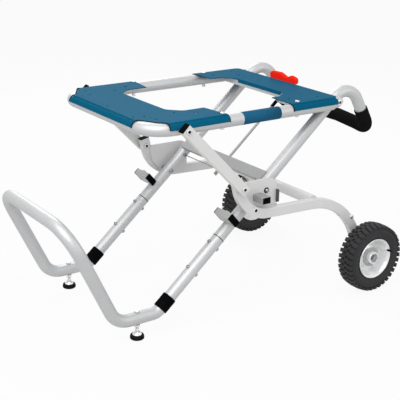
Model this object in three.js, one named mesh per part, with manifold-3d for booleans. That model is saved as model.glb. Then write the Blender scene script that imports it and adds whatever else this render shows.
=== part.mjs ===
// Folding wheeled stand for a bench saw: a tubular deck that takes the saw, a slanting leg frame
// with a foot loop and a carrying handle, and a wheel frame tied to the deck by two links.
// Millimetres, +Z up, X along the stand from the feet (-X) to the wheels (+X), left side at -Y.
import * as THREE from 'three';
import { mergeVertices } from 'three/addons/utils/BufferGeometryUtils.js';
import Module from 'manifold-3d';

const wasm = await Module();
wasm.setup();

// Side view: the pivots, and the leg axis that runs down from the deck pivot
const deckPivotX = 285;
const deckPivotZ = 590.5;
const legSlopeDegrees = 41;
const frameHalfSpacing = 203;
const wheelPivotDistance = 412;
const lockAbovePivot = 69;
const linkTopX = -275;
const linkBottomSetback = 63.06;
const linkBottomRise = 80.8;

// Clearances and cut lengths
const gap = 0.3;
const boltPlay = 0.3;
const spacerPlay = 0.6;
const overrun = 40;
const weldDistance = 0.001;

// Leg frame tubes
const upperTubeDiameter = 35;
const lowerTubeDiameter = 36;
const tubeWall = 2.5;
const seamBelowBlock = 54.4;
const spigotLength = 150;
const spigotLap = 25;
const collarTopDistance = 750;
const collarLength = 44;
const collarWall = 2.6;
const footRunHeight = 61;
const footRunBend = 36;
const footRiseX = -453.5;
const footRiseBend = 62;
const footBarX = -593;
const footBarHeight = 355;
const footCornerBend = 85;

// Handle and grip
const handleBend = 60;
const handleStart = 11;
const handleDropDegrees = 60.7;
const handleDropLength = 188;
const gripCornerBend = 38;
const gripBow = 32;
const gripBend = 900;
const gripOnDrop = 78;
const gripDiameter = 41;

// Leg bolts, bearing blocks and cross brace
const legBoltBelowSeam = 26;
const legBoltDiameter = 6;
const legBoltHeadWidth = 10;
const legBoltHeadHeight = 5;
const legNutWidth = 11;
const legNutHeight = 6;
const blockBelowPivot = 67.6;
const blockWidth = 20;
const blockHeight = 40;
const blockStep = 0.5;
const blockLength = 64;
const blockWall = 2;
const blockCorner = 2.5;
const blockCapThickness = 3;
const blockCapPlug = 10;
const bracketThickness = 3;
const bracketReach = 16;
const braceTopDistance = 297;
const braceWidth = 33;
const braceThickness = 2.5;
const braceFlange = 10;
const braceFlangeInset = 26;

// Feet
const footX = -388;
const footPadDiameter = 40;
const footPadTopDiameter = 36;
const footPadHeight = 12;
const footStemDiameter = 25;
const footStemTopDiameter = 14;
const footBoltDiameter = 8;
const footBoltHeadWidth = 13;
const footBoltHeadHeight = 5;
const footRecessDepth = 4;

// Deck tube, its rear cross tube and its two saddle plates
const deckTubeDiameter = 35;
const deckTubeWall = 2.5;
const deckSideGap = 0.6;
const deckFrontX = -364.6;
const deckCornerBend = 72;
const deckEndFlat = 12;
const deckEndFlatStart = 268;
const railHeight = 19;
const railWidth = 26;
const railInset = 58.6;
const railWall = 2;
const railCorner = 3;
const plateThickness = 2.5;
const bandLift = 2;
const bandLap = 0.5;
const creaseDiameter = 3;
const creaseOffset = 3;
const frontPlateInnerX = -241;
const frontPlateArmX = -138;
const frontBandStartX = -315;
const frontBandEndX = -127;
const frontWrapInset = 66.6;
const frontCornerInset = 12;
const rearPlateRearX = 270;
const rearPlateInnerX = 168;
const rearPlateArmX = 100;
const rearBandStartX = 97;
const rearBandEndX = 266;
const plateArmWidth = 88.6;
const plateBridgeInset = 35;
const plateCornerRadius = 26;
const plateFlange = 12;
const plateHoleDiameter = 7;
const plateSlotDiameter = 11;

// Deck screws and pivot bolts
const screwFrontX = -134;
const screwRearX = 127;
const screwInset = 7.1;
const screwDiameter = 6;
const screwHeadDiameter = 13;
const screwHeadHeight = 3.5;
const screwNutWidth = 11;
const screwNutHeight = 6;
const pivotBoltDiameter = 10;
const pivotHeadWidth = 16;
const pivotHeadHeight = 4.5;
const sunkHeadWidth = 13;
const spacerDiameter = 18;

// Links
const linkWidth = 30;
const linkThickness = 20;
const linkStandoff = 3.9;
const linkWall = 2.5;
const linkCorner = 4;
const linkOverhang = 10;
const linkFootRadius = 15;
const linkCapPlug = 4;
const capThickness = 3;
const wheelCapPlug = 10;

// Wheel frame
const gussetStandoff = 8.5;
const wheelTubeWidth = 30;
const wheelTubeDepth = 20;
const wheelTubeWall = 2.5;
const wheelTubeCorner = 4;
const wheelTubeTopSetback = 66.06;
const wheelTubeTopRise = 103.8;
const wheelTubeKneeSetback = 36.56;
const wheelTubeKneeDrop = 14.2;
const wheelTubeKneeBend = 112;
const wheelTubeHipX = 336;
const wheelTubeHipDrop = 27.2;
const wheelTubeHipBend = 200;
const wheelTubeTail = 14;
const gussetThickness = 4;
const gussetRise = 81.8;
const gussetReach = 88.94;
const gussetCorner = 30;
const gussetFlange = 12;
const gussetFlangeRise = 7.8;
const gussetFlangeLength = 36;
const stopAdvance = 4.44;
const stopWidth = 29.5;
const stopRise = 21.8;
const stopHeight = 21;
const stopWall = 2.5;
const stopReach = 44;
const wheelCrossX = 205;
const wheelCrossDrop = 18.2;
const wheelCrossDiameter = 32;
const wheelCrossWall = 2;

// Lock pins, their cable, the release rod and its lever
const lockPinDiameter = 12;
const lockPinReach = 4.5;
const lockBoreDepth = 22;
const lockTipLength = 3;
const lockDomeDiameter = 13;
const lockDomeHeight = 8;
const cableDiameter = 3;
const cableReach = 5;
const rodDiameter = 8;
const rodSleeveDiameter = 11;
const rodSleeveTop = 60;
const rodSleeveBottom = 82;
const rodEyeLength = 26;
const rodEyeWidth = 12;
const rodEyeThickness = 4;
const rodTravel = 10;
const rodTopDistance = 30;
const leverPivotDistance = 38;
const leverCrank = 22;
const leverPinDiameter = 8;
const leverEyeDiameter = 18;
const leverArmWidth = 14;
const leverThickness = 6;
const leverInner = 3;
const leverGripX = 281;
const leverGripThickness = 14;
const leverGripCentreY = 18;
const leverGripWidth = 124;
const leverGripBottomZ = 613;
const leverGripHeight = 25;
const leverDip = 9;
const bracketCheekHalf = 14;
const bracketCheekThickness = 3;
const bracketWidth = 26;
const bracketInset = 6;

// Wheels
const wheelX = 388;
const wheelStandoff = 20.2;
const tyreDiameter = 213;
const tyreWidth = 58;
const lugHeight = 5;
const lugWidth = 9;
const lugLength = 25;
const lugOverlap = 3;
const rimDiameter = 124;
const rimSeat = 46;
const rimWall = 3;
const hubDiameter = 40;
const hubLength = 44;
const axleDiameter = 12;
const axleHeadWidth = 19;
const axleHeadHeight = 7;
const rimLip = 6;
const rimFaceInset = 9;
const rimShoulderInset = 3;

// Shares of a piece's own size
const headCrownShare = 0.6;
const nutCrownShare = 0.7;
const screwBandShare = 0.4;
const screwCrownShare = 0.55;
const padBandShare = 0.6;
const pinTipShare = 0.7;
const pinHeadShare = 1.5;
const stubShare = 0.5;
const domeBandShare = 0.4;
const domeCrownShare = 0.8;
const domeShoulderShare = 0.75;
const domeTopShare = 0.3;
const tongueRoundShare = 0.95;
const eyeRoundShare = 0.33;
const neckShare = 0.25;
const dipPlaceShare = 0.12;
const dipDropShare = 0.33;
const lobeRoundShare = 0.4;
const smallLobeShare = 0.8;
const gripBevelShare = 0.15;
const gussetStartShare = 0.65;
const gussetRiseShare = 3;
const shoulderShare = 0.9;
const crownShare = 0.45;
const dishShare = 0.35;
const hubTaperShare = 0.9;
const lowerBoltShare = 0.495;
const creaseStandShare = 0.25;
const frontHoleShare = 0.25;

// Counts of facets and of repeated features
const tubeSides = 12;
const boreSides = 6;
const cableSides = 6;
const sleeveSides = 14;
const bendStep = THREE.MathUtils.degToRad(22.5);
const cornerStep = THREE.MathUtils.degToRad(30);
const sectionStep = THREE.MathUtils.degToRad(45);
const boltSides = 8;
const holeSides = 6;
const lugCount = 28;
const lugSlant = THREE.MathUtils.degToRad(12);
const tyreSides = 24;
const rimSides = 24;

// Derived places on the leg, seen from the side
const legSlope = THREE.MathUtils.degToRad(legSlopeDegrees);
const legUp = new THREE.Vector3(Math.cos(legSlope), 0, Math.sin(legSlope));
const legOut = new THREE.Vector3(-Math.sin(legSlope), 0, Math.cos(legSlope));
const acrossAxis = new THREE.Vector3(0, 1, 0);
const upAxis = new THREE.Vector3(0, 0, 1);

// A point in the side view, moved out to a distance y across the stand
function at(x, y, z) {
  return new THREE.Vector3(x, y, z);
}

// A point down the leg from the deck pivot, lifted square to the leg
function onLeg(distance, lift, y) {
  return at(deckPivotX, y, deckPivotZ)
    .addScaledVector(legUp, -distance)
    .addScaledVector(legOut, lift);
}

// Places along the leg that follow the wheel pivot, so that the parts there keep clear of each other
const lockDistance = wheelPivotDistance - lockAbovePivot;
const blockDistance = wheelPivotDistance + blockBelowPivot;
const seamDistance = blockDistance + seamBelowBlock;
const upperBoltDistance = seamDistance + legBoltBelowSeam;
const legBoltDistances = {
  upper: upperBoltDistance,
  lower: upperBoltDistance + (collarTopDistance - upperBoltDistance) * lowerBoltShare,
};

// Widths across the stand, each from the piece next to it nearer the middle
const legInner = frameHalfSpacing - upperTubeDiameter / 2;
const legOuter = frameHalfSpacing + upperTubeDiameter / 2;
const lockPinInner = legInner - lockPinReach;
const cableHalfLength = lockPinInner + cableReach;
const blockInner = legInner + blockStep;
const blockOuter = blockInner + blockLength;
const deckRadius = deckTubeDiameter / 2;
const deckInner = legOuter + deckSideGap;
const deckHalfSpacing = deckInner + deckRadius;
const deckOuter = deckHalfSpacing + deckRadius;
const railHalfLength = deckHalfSpacing - railInset;
const frontWrapHalf = deckHalfSpacing - frontWrapInset;
const plateArmInner = deckHalfSpacing - plateArmWidth;
const plateBridgeHalf = plateArmInner - plateBridgeInset;
const screwHalfSpacing = deckHalfSpacing - screwInset;
const linkInner = deckOuter + linkStandoff;
const linkOuter = linkInner + linkThickness;
const gussetInner = legOuter + gussetStandoff;
const wheelTubeInner = gussetInner + gussetThickness + gap;
const wheelTubeOuter = wheelTubeInner + wheelTubeDepth;
const wheelCentreHalf = wheelTubeOuter + wheelStandoff + tyreWidth / 2;

// Places on the wheel frame, measured from its pivot
const wheelPivot = onLeg(wheelPivotDistance, 0, 0);
const linkBottomX = wheelPivot.x - linkBottomSetback;
const linkBottomZ = wheelPivot.z + linkBottomRise;
const wheelTubeTopX = wheelPivot.x - wheelTubeTopSetback;
const wheelTubeTopZ = wheelPivot.z + wheelTubeTopRise;
const wheelTubeKneeX = wheelPivot.x - wheelTubeKneeSetback;
const wheelTubeKneeZ = wheelPivot.z - wheelTubeKneeDrop;
const wheelTubeHipZ = wheelPivot.z - wheelTubeHipDrop;
const gussetTopZ = wheelPivot.z + gussetRise;
const gussetRightX = wheelPivot.x + gussetReach;
const gussetFlangeBottom = wheelPivot.z + gussetFlangeRise;
const gussetFlangeTop = gussetFlangeBottom + gussetFlangeLength;
const stopLeftX = wheelPivot.x + stopAdvance;
const stopBottomZ = wheelPivot.z + stopRise;
const wheelCrossZ = wheelPivot.z - wheelCrossDrop;

// A geometry's points and faces as a closed solid with its faces pointing out
function toSolid(geometry) {
  const bare = new THREE.BufferGeometry();
  bare.setAttribute('position', geometry.getAttribute('position').clone());
  if (geometry.index) bare.setIndex(geometry.index.clone());
  const merged = mergeVertices(bare, weldDistance);
  const place = merged.getAttribute('position');
  const corners = [];
  let volume = 0;
  const [a, b, c] = [new THREE.Vector3(), new THREE.Vector3(), new THREE.Vector3()];
  for (let i = 0; i < merged.index.count; i += 3) {
    const face = [0, 1, 2].map((k) => merged.index.getX(i + k));
    if (new Set(face).size < 3) continue;
    corners.push(face);
    a.fromBufferAttribute(place, face[0]);
    b.fromBufferAttribute(place, face[1]);
    c.fromBufferAttribute(place, face[2]);
    volume += a.dot(b.cross(c));
  }
  if (volume < 0) corners.forEach((face) => face.reverse());
  return new wasm.Manifold(new wasm.Mesh({
    numProp: 3,
    vertProperties: new Float32Array(place.array),
    triVerts: new Uint32Array(corners.flat()),
  }));
}

function toGeometry(solid) {
  const mesh = solid.getMesh();
  const geometry = new THREE.BufferGeometry();
  const points = new Float32Array((mesh.vertProperties.length / mesh.numProp) * 3);
  for (let i = 0; i < points.length / 3; i += 1) {
    for (let k = 0; k < 3; k += 1) points[3 * i + k] = mesh.vertProperties[i * mesh.numProp + k];
  }
  geometry.setAttribute('position', new THREE.BufferAttribute(points, 3));
  geometry.setIndex(new THREE.BufferAttribute(new Uint32Array(mesh.triVerts), 1));
  const flat = geometry.toNonIndexed();
  flat.computeVertexNormals();
  return flat;
}

// Straight runs joined by round bends: a list of stations, each with its point and direction
function bendStations(corners, radii) {
  const stations = [];
  const last = corners.length - 1;
  const firstWay = corners[1].clone().sub(corners[0]).normalize();
  stations.push({ point: corners[0].clone(), way: firstWay });
  for (let i = 1; i < last; i += 1) {
    const into = corners[i].clone().sub(corners[i - 1]).normalize();
    const out = corners[i + 1].clone().sub(corners[i]).normalize();
    const turn = into.angleTo(out);
    const inward = out.clone().addScaledVector(into, -out.dot(into)).normalize();
    const start = corners[i].clone().addScaledVector(into, -radii[i - 1] * Math.tan(turn / 2));
    const steps = Math.max(2, Math.ceil(turn / bendStep));
    for (let k = 0; k <= steps; k += 1) {
      const angle = (turn * k) / steps;
      const point = start.clone()
        .addScaledVector(into, radii[i - 1] * Math.sin(angle))
        .addScaledVector(inward, radii[i - 1] * (1 - Math.cos(angle)));
      const way = into.clone().multiplyScalar(Math.cos(angle)).addScaledVector(inward, Math.sin(angle));
      stations.push({ point, way });
    }
  }
  const lastWay = corners[last].clone().sub(corners[last - 1]).normalize();
  stations.push({ point: corners[last].clone(), way: lastWay });
  return stations;
}

// A curve that an extrusion samples exactly at its stations
class StationCurve extends THREE.Curve {
  constructor(stations) {
    super();
    this.stations = stations;
  }

  station(share) {
    return this.stations[Math.round(share * (this.stations.length - 1))];
  }

  getPointAt(share, target = new THREE.Vector3()) {
    return target.copy(this.station(share).point);
  }

  getTangentAt(share, target = new THREE.Vector3()) {
    return target.copy(this.station(share).way);
  }
}

function ringPoints(diameter, sides) {
  const points = [];
  for (let i = 0; i < sides; i += 1) {
    const angle = ((2 * i + 1) / sides) * Math.PI;
    points.push(new THREE.Vector2(Math.cos(angle), Math.sin(angle)).multiplyScalar(diameter / 2));
  }
  return points;
}

// An outline with rounded corners; each corner is [x, y, radius]
function roundedPoints(corners, step = cornerStep) {
  const points = [];
  corners.forEach(([x, y, radius], i) => {
    const here = new THREE.Vector2(x, y);
    const before = new THREE.Vector2(...corners.at(i - 1).slice(0, 2));
    const after = new THREE.Vector2(...corners[(i + 1) % corners.length].slice(0, 2));
    if (radius === 0) {
      points.push(here);
      return;
    }
    const into = here.clone().sub(before).normalize();
    const out = after.clone().sub(here).normalize();
    const turn = Math.acos(THREE.MathUtils.clamp(into.dot(out), -1, 1));
    const reach = radius * Math.tan(turn / 2);
    const inward = out.clone().addScaledVector(into, -out.dot(into)).normalize();
    const steps = Math.max(1, Math.round(turn / step));
    for (let k = 0; k <= steps; k += 1) {
      const angle = (turn * k) / steps;
      points.push(here.clone()
        .addScaledVector(into, radius * Math.sin(angle) - reach)
        .addScaledVector(inward, radius * (1 - Math.cos(angle))));
    }
  });
  return points;
}

function boxOutline(width, height, radius) {
  const [x, y] = [width / 2, height / 2];
  return roundedPoints([[-x, -y, radius], [x, -y, radius], [x, y, radius], [-x, y, radius]], sectionStep);
}

// A section swept along bent stations; the section's x runs across the stand, its y in the bend
function sweep(stations, outline, bores = []) {
  const shape = new THREE.Shape(outline);
  shape.holes = bores.map((bore) => new THREE.Path(bore));
  return toSolid(new THREE.ExtrudeGeometry(shape, {
    steps: stations.length - 1,
    extrudePath: new StationCurve(stations),
  }));
}

function tube(corners, radii, diameter, wall, boreCount = boreSides) {
  const bores = wall > 0 ? [ringPoints(diameter - 2 * wall, boreCount)] : [];
  return sweep(bendStations(corners, radii), ringPoints(diameter, tubeSides), bores);
}

function straightTube(from, to, diameter, wall, boreCount = boreSides) {
  return tube([from, to], [], diameter, wall, boreCount);
}

// A round bar between two points
function bar(from, to, diameter, sides = boltSides) {
  const length = from.distanceTo(to);
  const geometry = new THREE.CylinderGeometry(diameter / 2, diameter / 2, length, sides);
  const way = to.clone().sub(from).normalize();
  geometry.applyQuaternion(new THREE.Quaternion().setFromUnitVectors(acrossAxis, way));
  const middle = from.clone().add(to).divideScalar(2);
  geometry.translate(middle.x, middle.y, middle.z);
  return toSolid(geometry);
}

// A hole's cutter: its flats, not its corners, keep the play round what passes through
function holeCutter(from, to, diameter) {
  return bar(from, to, diameter / Math.cos(Math.PI / holeSides), holeSides);
}

// A turned piece: each profile entry is [distance along the axis, diameter]
function turned(origin, way, profile, sides = boltSides) {
  const points = profile.map(([along, diameter]) => new THREE.Vector2(diameter / 2, along));
  const geometry = new THREE.LatheGeometry(points, sides);
  geometry.applyQuaternion(new THREE.Quaternion().setFromUnitVectors(acrossAxis, way));
  geometry.translate(origin.x, origin.y, origin.z);
  return toSolid(geometry);
}

function hexagon(origin, way, width, height) {
  const geometry = new THREE.CylinderGeometry(width / Math.sqrt(3), width / Math.sqrt(3), height, 6);
  geometry.translate(0, height / 2, 0);
  geometry.applyQuaternion(new THREE.Quaternion().setFromUnitVectors(acrossAxis, way));
  geometry.translate(origin.x, origin.y, origin.z);
  return toSolid(geometry);
}

// A flat piece standing in the side view: points are [x, z], between two distances across
function sidePlate(points, from, to) {
  const shape = new THREE.Shape(points);
  const geometry = new THREE.ExtrudeGeometry(shape, { depth: Math.abs(to - from), bevelEnabled: false });
  geometry.rotateX(Math.PI / 2);
  geometry.translate(0, Math.max(from, to), 0);
  return toSolid(geometry);
}

// A flat piece lying level: points are [x, y], between two heights
function levelPlate(points, bottom, top) {
  const shape = new THREE.Shape(points);
  const geometry = new THREE.ExtrudeGeometry(shape, { depth: top - bottom, bevelEnabled: false });
  geometry.translate(0, 0, bottom);
  return toSolid(geometry);
}

// A block given by two opposite corners
function block(low, high) {
  const size = high.clone().sub(low);
  const middle = high.clone().add(low).divideScalar(2);
  const geometry = new THREE.BoxGeometry(Math.abs(size.x), Math.abs(size.y), Math.abs(size.z));
  geometry.translate(middle.x, middle.y, middle.z);
  return toSolid(geometry);
}

// A block aligned with the leg: distances down the leg, lifts square to it, and places across
function legBlock(upper, lower, liftLow, liftHigh, yLow, yHigh) {
  const low = Math.min(yLow, yHigh);
  const high = Math.max(yLow, yHigh);
  const corners = [[upper, liftLow], [upper, liftHigh], [lower, liftHigh], [lower, liftLow]];
  const points = corners.map(([distance, lift]) => {
    const place = onLeg(distance, lift, 0);
    return new THREE.Vector2(place.x, place.z);
  });
  return sidePlate(points, low, high);
}

const aluminium = new THREE.MeshStandardMaterial({ color: 0xc9ccd0, roughness: 0.32, metalness: 0.9 });
const greySteel = new THREE.MeshStandardMaterial({ color: 0xc4c7cb, roughness: 0.45, metalness: 0.6 });
const dullSteel = new THREE.MeshStandardMaterial({ color: 0x9b9da0, roughness: 0.5, metalness: 0.6 });
const zincSteel = new THREE.MeshStandardMaterial({ color: 0xb9bcc0, roughness: 0.35, metalness: 0.95 });
const bluePaint = new THREE.MeshStandardMaterial({ color: 0x3f7696, roughness: 0.4, metalness: 0.2 });
const blackPlastic = new THREE.MeshStandardMaterial({ color: 0x1b1c1e, roughness: 0.55, metalness: 0 });
const blackFoam = new THREE.MeshStandardMaterial({ color: 0x141415, roughness: 0.95, metalness: 0 });
const blackRubber = new THREE.MeshStandardMaterial({ color: 0x1f2022, roughness: 0.9, metalness: 0 });
const whitePaint = new THREE.MeshStandardMaterial({ color: 0xe6e7e9, roughness: 0.4, metalness: 0.1 });
const redPlastic = new THREE.MeshStandardMaterial({ color: 0xe0231d, roughness: 0.4, metalness: 0 });

const stand = new THREE.Group();
const legFrame = new THREE.Group();
const deck = new THREE.Group();
const wheelFrame = new THREE.Group();
const links = new THREE.Group();
const wheels = new THREE.Group();
stand.add(legFrame, deck, wheelFrame, links, wheels);

function add(group, name, solid, material) {
  const mesh = new THREE.Mesh(toGeometry(solid), material);
  mesh.name = name;
  group.add(mesh);
}

const sides = [{ word: 'left', sign: -1 }, { word: 'right', sign: 1 }];

// The two tubes that form a closed hoop across the stand mirror one half of their corners
function mirrored(half) {
  const other = half.map((corner) => corner.clone().multiply(at(1, -1, 1))).reverse();
  return [...half, ...other];
}

// Foot loop: from the leg down to a level run, up a slanted riser and across at the top
const lowerRadius = lowerTubeDiameter / 2;
const footKneeDistance = (deckPivotZ - footRunHeight) / Math.sin(legSlope);
const collarMiddle = collarTopDistance + collarLength / 2;

function footLoop() {
  const half = [
    onLeg(collarMiddle + gap, 0, -frameHalfSpacing),
    onLeg(footKneeDistance, 0, -frameHalfSpacing),
    at(footRiseX, -frameHalfSpacing, footRunHeight),
    at(footBarX, -frameHalfSpacing, footBarHeight),
  ];
  const bends = [footRunBend, footRiseBend, footCornerBend];
  const loop = tube(mirrored(half), [...bends, ...bends.toReversed()], lowerTubeDiameter, tubeWall);
  return sides.reduce((solid, { sign }) => {
    const bore = holeCutter(
      at(footX, sign * frameHalfSpacing, 0),
      at(footX, sign * frameHalfSpacing, footRunHeight + overrun),
      footBoltDiameter + 2 * boltPlay,
    );
    return solid.subtract(bore);
  }, loop);
}

// Handle and upper legs: one tube, from the spigot in each lower leg over the hump to the grip
const handleTurn = legSlope + THREE.MathUtils.degToRad(handleDropDegrees);
const handleDrop = THREE.MathUtils.degToRad(handleDropDegrees);
const handlePeak = handleStart + handleBend * Math.tan(handleTurn / 2);
const dropWay = at(Math.cos(handleDrop), 0, -Math.sin(handleDrop));
const gripOut = at(Math.sin(handleDrop), 0, Math.cos(handleDrop));

function gripCorners(startOnDrop) {
  const peak = onLeg(-handlePeak, 0, -frameHalfSpacing);
  const corner = peak.clone().addScaledVector(dropWay, handleDropLength);
  const middle = corner.clone().addScaledVector(gripOut, gripBow).setY(0);
  const start = startOnDrop > 0 ? [corner.clone().addScaledVector(dropWay, -startOnDrop)] : [];
  return { before: [...start, corner], middle };
}

function handleTube() {
  const { before, middle } = gripCorners(0);
  const half = [
    onLeg(seamDistance - gap, 0, -frameHalfSpacing),
    onLeg(-handlePeak, 0, -frameHalfSpacing),
    ...before,
  ];
  const corners = [...mirrored(half)];
  corners.splice(half.length, 0, middle);
  const bends = [handleBend, gripCornerBend];
  let solid = tube(corners, [...bends, gripBend, ...bends.toReversed()], upperTubeDiameter, tubeWall);
  const spigotDiameter = lowerTubeDiameter - 2 * tubeWall - 2 * gap;
  for (const { sign } of sides) {
    const y = sign * frameHalfSpacing;
    const spigot = straightTube(
      onLeg(seamDistance - spigotLap, 0, y),
      onLeg(seamDistance + spigotLength, 0, y),
      spigotDiameter,
      tubeWall,
    );
    solid = solid.add(spigot);
    for (const distance of Object.values(legBoltDistances)) {
      solid = solid.subtract(legBoltBore(distance, y));
    }
    for (const [distance, diameter] of [[0, pivotBoltDiameter], [lockDistance, lockPinDiameter],
      [wheelPivotDistance, pivotBoltDiameter]]) {
      solid = solid.subtract(crossBore(onLeg(distance, 0, y), diameter));
    }
  }
  return solid;
}

// A bore through a leg tube, square to the stand's side
function crossBore(place, diameter) {
  return holeCutter(
    place.clone().addScaledVector(acrossAxis, -overrun),
    place.clone().addScaledVector(acrossAxis, overrun),
    diameter + 2 * boltPlay,
  );
}

// Leg bolts lie in the side view, square to the leg
function legBoltBore(distance, y) {
  const diameter = legBoltDiameter + 2 * boltPlay;
  return holeCutter(onLeg(distance, -overrun, y), onLeg(distance, overrun, y), diameter);
}

function legBolt(distance, y) {
  const shank = bar(
    onLeg(distance, -lowerRadius - gap - legNutHeight / 2, y),
    onLeg(distance, lowerRadius + gap + legBoltHeadHeight / 2, y),
    legBoltDiameter,
  );
  const head = turned(onLeg(distance, lowerRadius + gap, y), legOut, [
    [0, 0], [0, legBoltHeadWidth],
    [legBoltHeadHeight * headCrownShare, legBoltHeadWidth],
    [legBoltHeadHeight, legBoltHeadWidth * headCrownShare],
    [legBoltHeadHeight, 0],
  ]);
  const under = onLeg(distance, -lowerRadius - gap, y);
  const nut = hexagon(under, legOut.clone().negate(), legNutWidth, legNutHeight);
  return shank.add(head).add(nut);
}

function lowerLeg(sign) {
  const y = sign * frameHalfSpacing;
  let solid = straightTube(
    onLeg(seamDistance, 0, y),
    onLeg(collarMiddle, 0, y),
    lowerTubeDiameter,
    tubeWall,
    tubeSides,
  );
  for (const distance of Object.values(legBoltDistances)) solid = solid.subtract(legBoltBore(distance, y));
  return solid;
}

function collar(sign) {
  const outer = lowerTubeDiameter + 2 * (gap + collarWall);
  const y = sign * frameHalfSpacing;
  const bore = bar(
    onLeg(collarTopDistance - overrun, 0, y),
    onLeg(collarTopDistance + collarLength + overrun, 0, y),
    (lowerTubeDiameter + 2 * gap) / Math.cos(Math.PI / sleeveSides),
    sleeveSides,
  );
  const body = turned(onLeg(collarTopDistance, 0, y), legUp.clone().negate(), [
    [0, 0], [0, outer - collarWall], [collarWall / 2, outer], [collarLength - collarWall / 2, outer],
    [collarLength, outer - collarWall], [collarLength, 0],
  ], sleeveSides);
  return body.subtract(bore);
}

function footScrew(sign) {
  const y = sign * frameHalfSpacing;
  const tubeBottom = footRunHeight - lowerRadius - gap;
  const tubeTop = footRunHeight + lowerRadius + gap;
  const stem = turned(at(footX, y, 0), upAxis, [
    [footPadHeight - footRecessDepth + gap, 0], [footPadHeight - footRecessDepth + gap, footBoltDiameter],
    [footPadHeight + gap, footBoltDiameter], [footPadHeight + gap, footStemDiameter],
    [tubeBottom, footStemTopDiameter], [tubeBottom, footBoltDiameter],
    [tubeTop + footBoltHeadHeight / 2, footBoltDiameter], [tubeTop + footBoltHeadHeight / 2, 0],
  ], tubeSides);
  return stem.add(hexagon(at(footX, y, tubeTop), upAxis, footBoltHeadWidth, footBoltHeadHeight));
}

function footPad(sign) {
  const y = sign * frameHalfSpacing;
  const recess = footBoltDiameter + 2 * boltPlay;
  return turned(at(footX, y, 0), upAxis, [
    [0, 0], [0, footPadDiameter - 2 * footRecessDepth / 2], [footRecessDepth / 2, footPadDiameter],
    [footPadHeight * padBandShare, footPadDiameter], [footPadHeight, footPadTopDiameter],
    [footPadHeight, recess], [footPadHeight - footRecessDepth, recess],
    [footPadHeight - footRecessDepth, 0],
  ], sleeveSides);
}

// Bearing blocks: rectangular tube laid across each leg, closed inside, with a cap at each outer end
const blockLift = upperTubeDiameter / 2 + gap + blockHeight / 2;

// A rectangular section along Y lies turned by the leg's slope
function slopedBox(width, height, radius, sign, from, to) {
  const points = boxOutline(width, height, radius).map((point) => {
    const place = onLeg(blockDistance - point.x, blockLift + point.y, 0);
    return new THREE.Vector2(place.x, place.z);
  });
  return sidePlate(points, sign * from, sign * to);
}

function bearingBlock(sign) {
  const body = slopedBox(blockWidth, blockHeight, blockCorner, sign, blockInner, blockOuter);
  const bore = slopedBox(
    blockWidth - 2 * blockWall,
    blockHeight - 2 * blockWall,
    0,
    sign,
    blockInner + blockCapThickness,
    blockOuter + overrun,
  );
  const edge = blockOuter - blockCapPlug;
  const plate = legBlock(
    blockDistance - blockWidth / 2,
    blockDistance - blockWidth / 2 - bracketThickness,
    blockLift - blockHeight / 2,
    blockLift + blockHeight / 2 - blockCorner,
    sign * (edge - bracketReach),
    sign * edge,
  );
  return body.subtract(bore).add(plate);
}

function blockCap(sign) {
  const rim = slopedBox(
    blockWidth,
    blockHeight,
    blockCorner,
    sign,
    blockOuter + gap,
    blockOuter + gap + blockCapThickness,
  );
  const plug = slopedBox(
    blockWidth - 2 * blockWall - 2 * gap,
    blockHeight - 2 * blockWall - 2 * gap,
    0,
    sign,
    blockOuter - blockCapPlug,
    blockOuter + gap + blockCapThickness / 2,
  );
  return rim.add(plug);
}

// Cross brace: a folded strip over both upper legs, its edges turned down between the legs
function legBrace() {
  const bottom = upperTubeDiameter / 2 + gap;
  const top = bottom + braceThickness;
  const end = braceTopDistance + braceWidth;
  const inset = frameHalfSpacing - braceFlangeInset;
  const web = legBlock(braceTopDistance, end, bottom, top, -frameHalfSpacing, frameHalfSpacing);
  const upper = legBlock(
    braceTopDistance,
    braceTopDistance + braceThickness,
    bottom - braceFlange,
    top - braceThickness / 2,
    -inset,
    inset,
  );
  const lower = legBlock(
    end - braceThickness,
    end,
    bottom - braceFlange,
    top - braceThickness / 2,
    -inset,
    inset,
  );
  return web.add(upper).add(lower);
}

// Wheel pivot bolt: through leg, spacer, gusset and wheel tube, its head sunk in the tube

function wheelPivotBolt(sign) {
  const way = at(0, sign, 0);
  const end = legInner - gap - pivotHeadHeight;
  const seat = wheelTubeInner + wheelTubeWall + gap;
  return turned(onLeg(wheelPivotDistance, 0, 0), way, [
    [end, 0], [end, pivotHeadWidth], [end + pivotHeadHeight, pivotHeadWidth],
    [end + pivotHeadHeight, pivotBoltDiameter], [legOuter + gap, pivotBoltDiameter],
    [legOuter + gap, spacerDiameter], [gussetInner - gap, spacerDiameter],
    [gussetInner - gap, pivotBoltDiameter], [seat, pivotBoltDiameter],
    [seat, sunkHeadWidth], [wheelTubeOuter - gap, sunkHeadWidth], [wheelTubeOuter - gap, 0],
  ]);
}

add(legFrame, 'foot_loop', footLoop(), aluminium);
add(legFrame, 'handle_tube', handleTube(), aluminium);
for (const { word, sign } of sides) {
  const y = sign * frameHalfSpacing;
  add(legFrame, `lower_leg_${word}`, lowerLeg(sign), aluminium);
  add(legFrame, `leg_collar_${word}`, collar(sign), blackPlastic);
  for (const [place, distance] of Object.entries(legBoltDistances)) {
    add(legFrame, `leg_bolt_${place}_${word}`, legBolt(distance, y), zincSteel);
  }
  add(legFrame, `foot_screw_${word}`, footScrew(sign), zincSteel);
  add(legFrame, `foot_pad_${word}`, footPad(sign), blackRubber);
  add(legFrame, `bearing_block_${word}`, bearingBlock(sign), greySteel);
  add(legFrame, `block_cap_${word}`, blockCap(sign), blackPlastic);
  add(legFrame, `wheel_pivot_bolt_${word}`, wheelPivotBolt(sign), zincSteel);
}
add(legFrame, 'leg_brace', legBrace(), dullSteel);

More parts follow.
